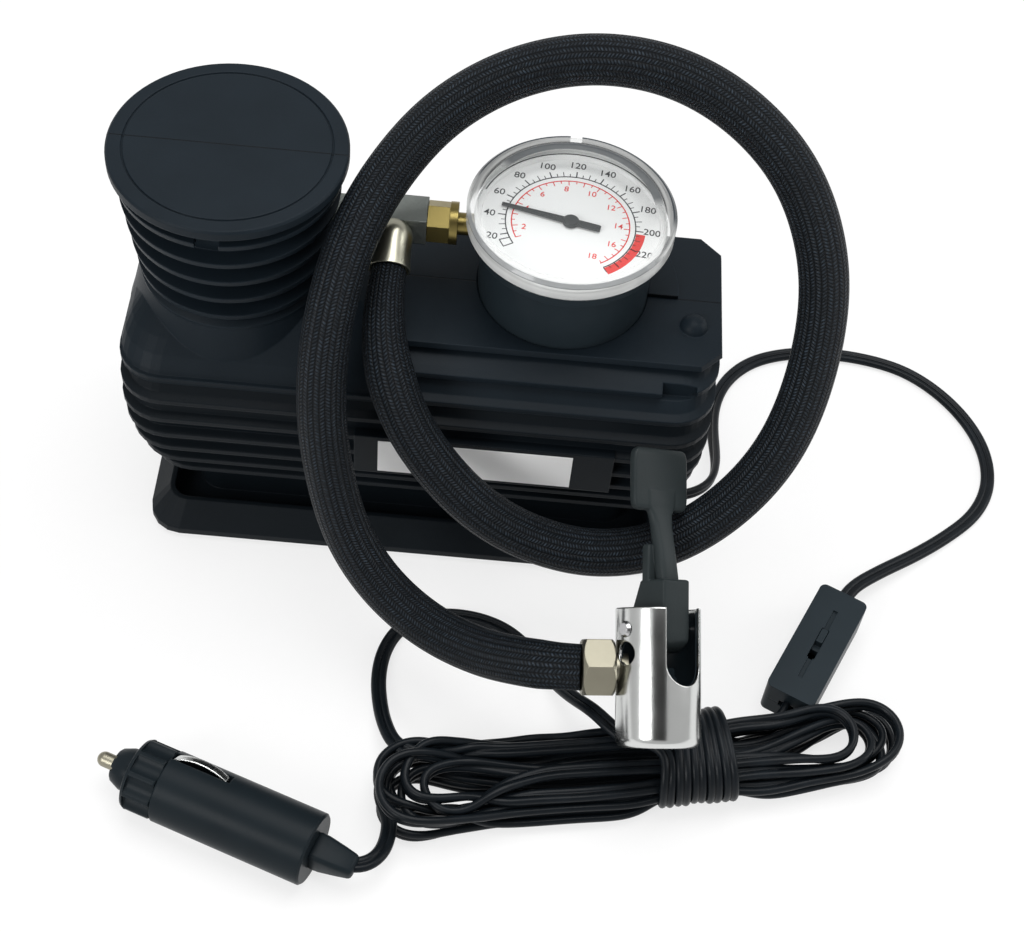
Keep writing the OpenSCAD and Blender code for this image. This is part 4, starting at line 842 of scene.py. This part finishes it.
class INFLATOR_OT_cords(bpy.types.Operator):
    """Lay the flat cord from the casing to the switch, and the long lead in its hank to the plug"""

    bl_idname = "inflator.cords"
    bl_label = "Flat cords and hank"

    def execute(self, context):
        w, t = sizes().cord_width, sizes().cord_thickness
        section = twin_section(w, t)
        line = relaxed(CORD_ROUTE, 1.2, 3)
        flat = np.cross(directions(line), [0, 0, 1.0])
        at = lengths(line)
        turn = np.interp(at, *zip(*CORD_TURN))[:, None]
        wide = square_to(line, flat * (1 - turn) + np.array([0, 0, 1.0]) * turn)
        short = swept("body_cord", line, wide, section, np.ones(len(line)), CORD_REPEAT)
        dress(short, "cord")
        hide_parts("cord_from_body")

        line, wide = long_lead()
        lead = swept("long_lead", line, wide, section, np.ones(len(line)), CORD_REPEAT)
        dress(lead, "cord")
        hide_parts("cord_to_hank", "cord_hank", "cord_loop", "cord_to_plug")
        return {"FINISHED"}


class INFLATOR_OT_finishes(bpy.types.Operator):
    """Give every moulded, metal and clear part its finish"""

    bl_idname = "inflator.finishes"
    bl_label = "Finishes"

    def execute(self, context):
        make_finishes()
        for part in frame["record"]["subparts"]:
            piece = NODES[part["node"]]
            finish = FINISHES[part["material_slot"]].material
            for place in piece.material_slots:
                place.material = finish
            if not piece.material_slots:
                piece.data.materials.append(finish)
        NODES["plug_tip"].material_slots[0].material = FINISHES["worn_nickel"].material
        return {"FINISHED"}


# ---- Shaping by hand ----


def active():
    """The piece that the last operator made."""
    return bpy.context.view_layer.objects.active


def alone(*pieces):
    """Selects these pieces and nothing else."""
    bpy.ops.object.select_all(action="DESELECT")
    for piece in pieces:
        piece.select_set(True)
    bpy.context.view_layer.objects.active = pieces[0]


def choose_all():
    """Selects the whole mesh that is being edited."""
    bpy.ops.mesh.select_all(action="SELECT")


def named(piece, name):
    """Gives the piece and its mesh one name."""
    piece.name = piece.data.name = name
    return piece


def seated(piece, place=None):
    """Puts the piece's place into its mesh."""
    if place is not None:
        bpy.context.view_layer.update()
        piece.matrix_world = place @ piece.matrix_world
    alone(piece)
    bpy.ops.object.transform_apply(location=True, rotation=True, scale=True)
    return piece


def joined(name, pieces):
    alone(*pieces)
    bpy.ops.object.join()
    return named(active(), name)


def changed(piece, kind, **settings):
    """Applies one modifier to the piece."""
    modifier = piece.modifiers.new("change", kind)
    for name, value in settings.items():
        setattr(modifier, name, value)
    alone(piece)
    bpy.ops.object.modifier_apply(modifier="change")
    return piece


def cut_away(piece, cutter):
    """Cuts the cutter out of the piece and drops the cutter."""
    changed(piece, "BOOLEAN", operation="DIFFERENCE", object=cutter)
    bpy.data.objects.remove(cutter)


def placed(at, *turns):
    """The place at a point in millimetres, after turns in degrees about X, Y and Z, the last turn first."""
    place = Matrix.Translation(Vector(at) * MM)
    for turn in turns:
        place = place @ Euler([math.radians(a) for a in turn]).to_matrix().to_4x4()
    return place


def block(size, at, turn=(0, 0, 0)):
    """A new cuboid, in millimetres and degrees."""
    bpy.ops.mesh.primitive_cube_add(
        size=1, location=[v * MM for v in at], rotation=[math.radians(a) for a in turn],
        scale=[v * MM for v in size],
    )
    return active()


def cylinder(radius, height, at, turn=(0, 0, 0), vertices=64):
    """A new round bar, in millimetres and degrees."""
    bpy.ops.mesh.primitive_cylinder_add(
        vertices=vertices, radius=radius * MM, depth=height * MM, location=[v * MM for v in at],
        rotation=[math.radians(a) for a in turn],
    )
    return active()


def swung(name, points, steps, angle, centre=(0, 0, 0)):
    """A new piece: a line through points in millimetres, swung about an upright axis."""
    bpy.ops.mesh.primitive_plane_add(size=1, location=(0, 0, 0))
    made = named(active(), name)
    mesh = bmesh.new()
    corners = [mesh.verts.new([v * MM for v in point]) for point in points]
    for pair in zip(corners, corners[1:]):
        mesh.edges.new(pair)
    mesh.to_mesh(made.data)
    mesh.free()
    alone(made)
    bpy.ops.object.mode_set(mode="EDIT")
    choose_all()
    bpy.ops.mesh.spin(steps=steps, angle=angle, center=[v * MM for v in centre], axis=(0, 0, 1))
    choose_all()
    bpy.ops.mesh.remove_doubles(threshold=WELD)
    bpy.ops.mesh.normals_make_consistent(inside=False)
    bpy.ops.object.mode_set(mode="OBJECT")
    return made


def spun(name, outline, place, steps=72, smooth=32):
    """A closed piece: the outline of (radius, height) in millimetres turned about its own Z."""
    made = swung(name, [(r, 0, h) for r, h in outline], steps, 2 * math.pi)
    bpy.ops.object.shade_smooth_by_angle(angle=math.radians(smooth))
    return seated(made, place)


def drawn(name, stations, place, edge):
    """A bar drawn up through level rectangles (x, y, width, depth, z) in millimetres, its edges rounded."""
    x, y, wide, deep, z = stations[0]
    foot = (x * MM, y * MM, z * MM)
    bpy.ops.mesh.primitive_plane_add(size=1, location=foot)
    made = named(seated(active()), name)
    bpy.ops.object.mode_set(mode="EDIT")
    choose_all()
    bpy.ops.transform.resize(value=(wide * MM, deep * MM, 1), center_override=foot)
    for last, step in zip(stations, stations[1:]):
        move = [(step[i] - last[i]) * MM for i in (0, 1, 4)]
        bpy.ops.mesh.extrude_region_move(TRANSFORM_OT_translate={"value": move})
        middle = (step[0] * MM, step[1] * MM, step[4] * MM)
        bpy.ops.transform.resize(value=(step[2] / last[2], step[3] / last[3], 1), center_override=middle)
    choose_all()
    bpy.ops.mesh.normals_make_consistent(inside=False)
    bpy.ops.object.mode_set(mode="OBJECT")
    changed(made, "BEVEL", width=edge * MM, segments=3, angle_limit=math.radians(28))
    bpy.ops.object.shade_smooth_by_angle(angle=math.radians(34))
    return seated(made, place)


class INFLATOR_OT_lever(bpy.types.Operator):
    """Draw the thumb lever: its cam, neck, back plate and wide paddle"""

    bl_idname = "inflator.lever"
    bl_label = "Thumb lever"

    def execute(self, context):
        slot = placed(CHUCK_AT, CHUCK_TURN, SLOT_TURN) @ placed((0, 0, CHUCK_PIVOT))
        cam = [(0, 0, 9.2, 5, -6.4), (0, -0.8, 9.6, 10.4, -4.6), (0, -1.1, 9.6, 13, -3),
               (0, -0.8, 9.6, 14, 0), (0, -1.1, 9.6, 13.4, 6), (0, -2.7, 9.6, 10.4, 13.3),
               (0, -2.7, 9, 9.8, 13.9)]
        plate = [(0, 0.1, 9.6, 3, 13), (0, 0.1, 9.4, 2.8, 23), (0, 0.1, 8.8, 2.4, 23.8)]
        neck = [(0.1, -3.9, 6.2, 4.2, 13), (0, -2.5, 6.2, 4, 22), (0, -1.2, 6.6, 3.6, 29),
                (0, -0.7, 7.6, 3.2, 32), (0, -0.4, 10.5, 2.8, 34.4), (0, -0.4, 11, 2.6, 40)]
        paddle = [(0, -0.2, wide, deep, z) for wide, deep, z in (
            (15, 2.2, 33.2), (18, 2.6, 33.8), (19.2, 2.6, 35), (19.6, 2.6, 37), (19.6, 2.6, 47.4),
            (19.2, 2.6, 49), (18, 2.6, 50.2), (15.6, 2, 50.8))]
        lever = joined("moulded_lever", [
            drawn("bar", stations, slot, edge)
            for stations, edge in ((cam, 0.8), (plate, 0.5), (neck, 1.3), (paddle, 0.7))])
        dress(lever, "lever_grey", body="lever")
        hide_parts("thumb_lever")
        return {"FINISHED"}


class INFLATOR_OT_chuck(bpy.types.Operator):
    """Turn the chuck's plated barrel and its valve core, and cut the slot and holes through them"""

    bl_idname = "inflator.chuck"
    bl_label = "Chuck barrel and core"

    def execute(self, context):
        upright = placed(CHUCK_AT, CHUCK_TURN)
        slot = upright @ placed((0, 0, 0), SLOT_TURN)
        shell = [(4.6, 0.05), (9.2, 0.05), (10.2, 0.3), (11.1, 0.85), (11.65, 1.7), (11.9, 2.9), (11.9, 38.2),
                 (11.7, 38.5), (11.1, 38.5), (10.9, 38.3), (10.9, 2.4), (4.6, 2.4), (4.6, 0.05)]
        core = [(2, 7.4), (10.7, 7.4), (10.86, 7.5), (10.86, 37.5), (10.6, 37.5), (10.6, 16), (9.6, 15.4),
                (5.2, 15.4), (5.2, 21.4), (4.6, 22), (2, 22), (2, 7.4)]
        barrel = spun("chuck_barrel_plated", shell, slot, 96)
        valve = spun("valve_core", core, slot, 64)
        for piece in (barrel, valve):
            for cutter in (
                seated(block((12, 11.6, 30), (0, -7, 38)), slot),
                seated(cylinder(6, 11.6, (0, -7, 23), (90, 0, 0)), slot),
                seated(cylinder(3.3, 9, (-9.5, 0, 25.8), (0, 90, 0)), slot),
                seated(cylinder(1.52, 26, (0, 0, CHUCK_PIVOT), (0, 90, 0)), slot),
                seated(cylinder(4.15, 12, (-7, 0, NUT_UP), (0, 90, 0)), upright),
            ):
                cut_away(piece, cutter)
        nut = cylinder(8.9, 9.2, (0, 0, 17), vertices=6)
        stem = cylinder(4, 4, (0, 0, 10.6), vertices=48)
        cutters = [spun("corner", [(7.2, low), (12, low), (12, high), (7.2, low)], None)
                   for low, high in ((12.3, 16.2), (21.7, 17.8))]
        cutters.append(spun("bore", [(0, 15.9), (3.0, 15.9), (3.0, 22), (0, 22)], None))
        for cutter in cutters:
            cut_away(nut, cutter)
        nut = seated(joined("chuck_nut_hex", [nut, stem]), upright @ placed((0, 0, NUT_UP), (0, -90, 0)))
        bpy.ops.object.shade_smooth_by_angle(angle=math.radians(28))
        dress(nut, "nickel", "worn_nickel")
        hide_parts("chuck_nut")
        dress(barrel, "chrome")
        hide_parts("chuck_barrel")
        dress(valve, "gloss_black")
        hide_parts("chuck_core")
        return {"FINISHED"}


class INFLATOR_OT_outlet(bpy.types.Operator):
    """Turn the domed hose elbow and its flared sleeve"""

    bl_idname = "inflator.outlet"
    bl_label = "Hose elbow and sleeve"

    def execute(self, context):
        dome = [(DOME_R * math.sin(a), -DOME_R * math.cos(a)) for a in np.linspace(0, math.pi / 2, 12)]
        sleeve = dome + [(5.75, 1.4), (5.65, 3), (5.7, 6.5), (6.0, 9), (6.0, 9.6), (5.4, 9.6), (5.1, 8.6),
                         (5.1, 7), (0, 7)]
        stub = [(0, 0), (4.6, 0), (4.6, 2.45), (0, 2.45)]
        elbow = joined("domed_elbow", [spun("dome", sleeve, placed(ELBOW_AT, (110, 0, 0))),
                                       spun("stub", stub, placed(ELBOW_AT, (-90, 0, 0)))])
        dress(elbow, "nickel")
        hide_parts("hose_elbow", "hose_ferrule")
        return {"FINISHED"}


class INFLATOR_OT_plug(bpy.types.Operator):
    """Turn the accessory plug's nose, fluted collar, barrel and strain relief"""

    bl_idname = "inflator.plug"
    bl_label = "Accessory plug"

    def execute(self, context):
        axis = placed(PLUG_AT, PLUG_LIE, (0, 90, 0))
        rolled = placed(PLUG_AT, PLUG_LIE, (PLUG_ROLL, 0, 0))
        nose = [(2.5, 6), (4.5, 6), (5.0, 6.5), (6.2, 9.4), (6.4, 11.4), (6.4, 12.6), (3.7, 12.6),
                (3.7, 10.4), (2.5, 10.4), (2.5, 6)]
        collar = [(3.7, 12.1), (9.2, 12.1), (10.0, 12.5), (10.5, 13.5), (10.5, 21.1), (10.2, 21.5),
                  (3.7, 21.5), (3.7, 12.1)]
        barrel = [(3.7, 21.6), (9.9, 21.6), (10.5, 22.1), (10.5, 67.4), (9.9, 68), (0, 68), (0, 48),
                  (3.7, 48), (3.7, 21.6)]
        made = [spun("plug_nose_turned", nose, axis), spun("plug_collar_fluted", collar, axis, 120, 24),
                spun("plug_barrel", barrel, axis, 96)]
        flutes = []
        for k in range(FLUTES):
            a = math.radians(360 / FLUTES * k + 9)
            at = (13.25 * math.cos(a), 13.25 * math.sin(a), 20.4)
            flutes.append(seated(cylinder(4.1, 14, at, vertices=48), axis))
        cut_away(made[1], joined("cutter", flutes))
        teeth = [seated(block((1.1, 16, 1.4), (0, 0, 6), (0, 0, 45 * k)), axis) for k in range(4)]
        cut_away(made[0], joined("cutter", teeth))
        slots = [seated(block((18, 3.6, 6.4), (31, 0, side * 10.5)), rolled) for side in (-1, 1)]
        cut_away(made[2], joined("cutter", slots))
        relief = [(0, 0, 8.8, 8.8, 67.5), (0, 0, 8.2, 8.6, 71), (0, 0, 6.2, 7.6, 76), (0, 0, 4.4, 6.4, 80.6)]
        made.append(drawn("plug_strain_relief", relief, axis, 1.3))
        for piece, node in zip(made, ("plug_nose", "plug_collar", "plug_body", "plug_relief")):
            dress(piece, "rubber_black" if node == "plug_relief" else "gloss_black", "plug_black")
            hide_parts(node)
        for side, body in ((1, "contact_a"), (-1, "contact_b")):
            strip = []
            for x in np.linspace(-8.2, 8.2, 15):
                high = PLUG_AT[2] + 1.2 - BOW_R + math.sqrt(BOW_R ** 2 - x * x)
                strip.append((-side * high, 0, 0.5, 2.6, x + 30.6))
            contact = drawn("plug_" + body, strip, rolled @ placed((0, 0, 0), (0, 90, 0)), 0.1)
            dress(contact, "chrome", body=body)
            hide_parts("side_" + body)
        return {"FINISHED"}


class INFLATOR_OT_pointer(bpy.types.Operator):
    """Shape the needle with its hub and arbor"""

    bl_idname = "inflator.pointer"
    bl_label = "Gauge needle"

    def execute(self, context):
        at = (*GAUGE_AT, DIAL_TOP + 0.55)
        blade = [(-0.3, 0, 0.6, 1.9, -8.6), (-0.3, 0, 0.6, 2.3, -8), (-0.3, 0, 0.6, 2.3, 0),
                 (-0.3, 0, 0.6, 1.1, 20.2)]
        hub = [(0, -0.1), (2.3, -0.1), (2.3, 0.7), (1.9, 1.1), (0, 1.1)]
        arbor = [(r, z - at[2]) for r, z in (
            (0, 95.6), (0.9, 95.6), (0.9, 101.7), (1.3, 101.7), (1.3, 104.9), (0.9, 104.9), (0.9, at[2]),
            (0, at[2]))]
        needle = joined("needle", [drawn("blade", blade, placed(at, (0, 0, 167), (0, 90, 0)), 0.12),
                                   spun("hub", hub, placed(at), 40), spun("arbor", arbor, placed(at), 24)])
        dress(needle, "gloss_black", "needle", body="pointer")
        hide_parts("pointer")
        return {"FINISHED"}


# ---- Dial marks and label ----


def dial_place(radius, angle, z):
    """A place at an angle round the dial's centre."""
    a = math.radians(angle)
    return GAUGE_AT[0] + radius * math.cos(a), GAUGE_AT[1] + radius * math.sin(a), z


def number(text, radius, angle, size, z):
    """One plain number on the dial, its middle at an angle round the centre."""
    at = [v * MM for v in dial_place(radius, angle, z)]
    bpy.ops.object.text_add(location=at, rotation=(0, 0, math.radians(DIAL_TURN)))
    made = active()
    made.data.body = text
    made.data.align_x = "CENTER"
    made.data.align_y = "CENTER"
    made.data.size = size * MM
    made.data.resolution_u = 4
    made.data.extrude = INK / 2 * MM
    made.data.offset = INK / 2 * MM
    alone(made)
    bpy.ops.object.convert(target="MESH")
    return seated(active())


def tick(radius, length, width, angle, z):
    """One printed line that points away from the dial's centre."""
    return seated(block((length, width, INK), dial_place(radius + length / 2, angle, z), (0, 0, angle)))


def band(name, inner, outer, start, end, z):
    """A printed arc round the dial's centre."""
    points = [dial_place(r, start, z) for r in (inner, outer)]
    steps = max(8, int(abs(end - start) / 2.5))
    made = swung(name, points, steps, -math.radians(end - start), (*GAUGE_AT, z))
    return changed(made, "SOLIDIFY", thickness=INK * MM, offset=0)


def dial_angle(pressure):
    """The angle of a place on the black scale."""
    return DIAL_ZERO - DIAL_STEP * pressure


class INFLATOR_OT_dial(bpy.types.Operator):
    """Print the dial: its numbers, ticks, arcs and red band, and a painted shade arc at its far rim"""

    bl_idname = "inflator.dial"
    bl_label = "Dial marks"

    def execute(self, context):
        dish = [(0, 109.4), (25.95, 109.4), (25.95, 113.03), (27.1, 113.03), (27.1, 113.15), (25.45, 113.15),
                (25.3, 113.0), (25.3, DIAL_TOP), (0, DIAL_TOP)]
        face = spun("dial_face", dish, placed((*GAUGE_AT, 0)), 120)
        dress(face, "dial_white")
        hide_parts("dial_plate")
        z = DIAL_TOP + 0.03
        end = dial_angle(DIAL_END)
        rest = [dial_angle(p) for p in REST_BOX]
        black = [band("outer_arc", 18.2, 18.55, rest[1], end, z)]
        for p in range(20, DIAL_END + 1, 5):
            length = 2.2 if p % 20 == 0 else 1.9 if p % 10 == 0 else 1.2
            black.append(tick(18.4, length, 0.36 if p % 20 == 0 else 0.24, dial_angle(p), z))
        black += [number(str(p), 23.0, dial_angle(p), 3.3, z) for p in range(20, 221, 20)]
        black += [tick(18.3, 3.2, 0.32, angle, z) for angle in rest]
        black += [band("stop", r, r + 0.32, *rest, z) for r in (18.2, 21.2)]
        # painted shade: a dark arc on the dial's rim, only on its far side, in the print's ink
        black.append(band("far_rim_shade", 25.9, 26.3, 160, 30, 113.16))
        dress(joined("dial_numbers_black", black), "dial_white", "ink")
        red = [band("inner_arc", 16.5, 16.85, dial_angle(14), end, z)]
        for k in range(2, 36):
            start, length = (15.0, 1.7) if k % 2 == 0 else (15.7, 1.0)
            red.append(tick(start, length, 0.26, dial_angle(k * RED_STEP / 2), z))
        red += [number(str(k), 13.4, dial_angle(k * RED_STEP - 3), 2.8, z) for k in range(2, 19, 2)]
        red.append(band("red_band", 18.65, 21.2, dial_angle(203), end, z))
        dress(joined("dial_numbers_red", red), "dial_white", "ink_red")
        return {"FINISHED"}


class INFLATOR_OT_label(bpy.types.Operator):
    """Stick the blank pale label on the smooth panel"""

    bl_idname = "inflator.label"
    bl_label = "Blank label"

    def execute(self, context):
        label = block((57, 0.18, 14.3), (18.5, PANEL_FRONT - 0.08, 49.8))
        label.name = "blank_label"
        changed(seated(label), "BEVEL", width=0.06 * MM, segments=2)
        dress(label, "white_plastic", "label")
        return {"FINISHED"}


# ---- Stage ----


class INFLATOR_OT_stage(bpy.types.Operator):
    """Set the camera, the pale floor, the lamps and the plain sky"""

    bl_idname = "inflator.stage"
    bl_label = "Stage"

    def execute(self, context):
        scene = context.scene
        scene.view_settings.view_transform = "Standard"
        camera = bpy.data.cameras.new("camera")
        camera.sensor_width = 36
        camera.lens = 66.45
        camera.clip_start = 0.01
        eye = bpy.data.objects.new("camera", camera)
        scene.collection.objects.link(eye)
        turn = Matrix.Identity(4)
        for angle, axis in CAMERA_TURNS:
            turn = turn @ Matrix.Rotation(math.radians(angle), 4, axis)
        eye.matrix_world = Matrix.Translation(CAMERA_AT) @ turn
        scene.camera = eye
        self.floor()
        self.sky(scene)
        for lamp in LAMPS:
            self.lamp(*lamp)
        self.card()
        return {"FINISHED"}

    def sheet(self, name, parts, **place):
        """A flat piece of the stage."""
        bpy.ops.object.select_all(action="DESELECT")
        bpy.ops.mesh.primitive_grid_add(x_subdivisions=parts, y_subdivisions=parts, **place)
        made = active()
        made.name = name
        return seated(made)

    def floor(self):
        floor = self.sheet("floor", 12, size=8, location=(0, 0, -0.0001))
        f = Finish("floor", 0.1, Roughness=0.9)
        f.set("Base Color", f.blend((0.9, 0.9, 0.9), (0.94, 0.94, 0.94), f.noise(300, 3, 0.5)))
        camera, gloss, through = f.outs("LightPath", RAYS)
        glow = f.node("Emission", None, {"Color": (1.0, 1.0, 1.0), "Strength": 1.0})
        share = (camera + gloss + through).math("MINIMUM", 1.0) * 0.72
        f.mix_with(share, f.body, glow)
        floor.data.materials.append(f.material)

    def card(self):
        """A dark card behind the camera, which only gloss shows."""
        card = self.sheet("dark_card", 4, size=1, location=(0.02, -1.0, 1.15),
                          rotation=(math.radians(45), 0, 0), scale=(1.5, 1.1, 1))
        f = Finish("card_black", 0.0, Roughness=0.9)
        f.set("Base Color", f.blend((0.01, 0.01, 0.01), (0.03, 0.03, 0.03), f.noise(20)))
        card.data.materials.append(f.material)
        for ray in ("camera", "diffuse", "shadow", "transmission"):
            setattr(card, "visible_" + ray, False)

    def sky(self, scene):
        world = bpy.data.worlds.new("sky")
        world.use_nodes = True
        tree = Nodes(world.node_tree)
        back = tree.tree.nodes["Background"]
        camera, gloss, through = tree.outs("LightPath", RAYS)
        seen = camera + gloss * 0.12 + through
        tree.put(back.inputs["Strength"], tree.node("MapRange", None, {0: seen, 3: 0.5, 4: 1.0}))
        back.inputs["Color"].default_value = (1, 1, 1, 1)
        scene.world = world

    def lamp(self, name, at, size, power):
        light = bpy.data.lights.new(name, "AREA")
        light.shape = "DISK"
        light.size = size
        light.energy = power
        made = bpy.data.objects.new(name, light)
        bpy.context.scene.collection.objects.link(made)
        made.location = at
        made.rotation_euler = (Vector(LAMPS_AIM) - Vector(at)).to_track_quat("-Z", "Y").to_euler()


class INFLATOR_PT_panel(bpy.types.Panel):
    """Sizes, colours and steps of the inflator's dress"""

    bl_label = "Inflator"
    bl_idname = "INFLATOR_PT_panel"
    bl_space_type = "VIEW_3D"
    bl_region_type = "UI"
    bl_category = "Inflator"

    def draw(self, context):
        for group in (context.scene.inflator_sizes, context.scene.inflator_colours):
            for name in group.__annotations__:
                self.layout.prop(group, name)
        for step in STEPS:
            self.layout.operator(step.bl_idname)


STEPS = (
    INFLATOR_OT_stage,
    INFLATOR_OT_finishes,
    INFLATOR_OT_outlet,
    INFLATOR_OT_chuck,
    INFLATOR_OT_lever,
    INFLATOR_OT_plug,
    INFLATOR_OT_hose,
    INFLATOR_OT_cords,
    INFLATOR_OT_pointer,
    INFLATOR_OT_dial,
    INFLATOR_OT_label,
)
KINDS = (InflatorSizes, InflatorColours) + STEPS + (INFLATOR_PT_panel,)


def register():
    for kind in KINDS:
        bpy.utils.register_class(kind)
    bpy.types.Scene.inflator_sizes = bpy.props.PointerProperty(type=InflatorSizes)
    bpy.types.Scene.inflator_colours = bpy.props.PointerProperty(type=InflatorColours)


def unregister():
    del bpy.types.Scene.inflator_colours
    del bpy.types.Scene.inflator_sizes
    for kind in reversed(KINDS):
        bpy.utils.unregister_class(kind)


def main():
    register()
    bpy.ops.inflator.stage()
    bpy.ops.inflator.finishes()
    bpy.ops.inflator.outlet()
    bpy.ops.inflator.chuck()
    bpy.ops.inflator.lever()
    bpy.ops.inflator.plug()
    bpy.ops.inflator.hose()
    bpy.ops.inflator.cords()
    bpy.ops.inflator.pointer()
    bpy.ops.inflator.dial()
    bpy.ops.inflator.label()


if __name__ == "__main__":
    main()
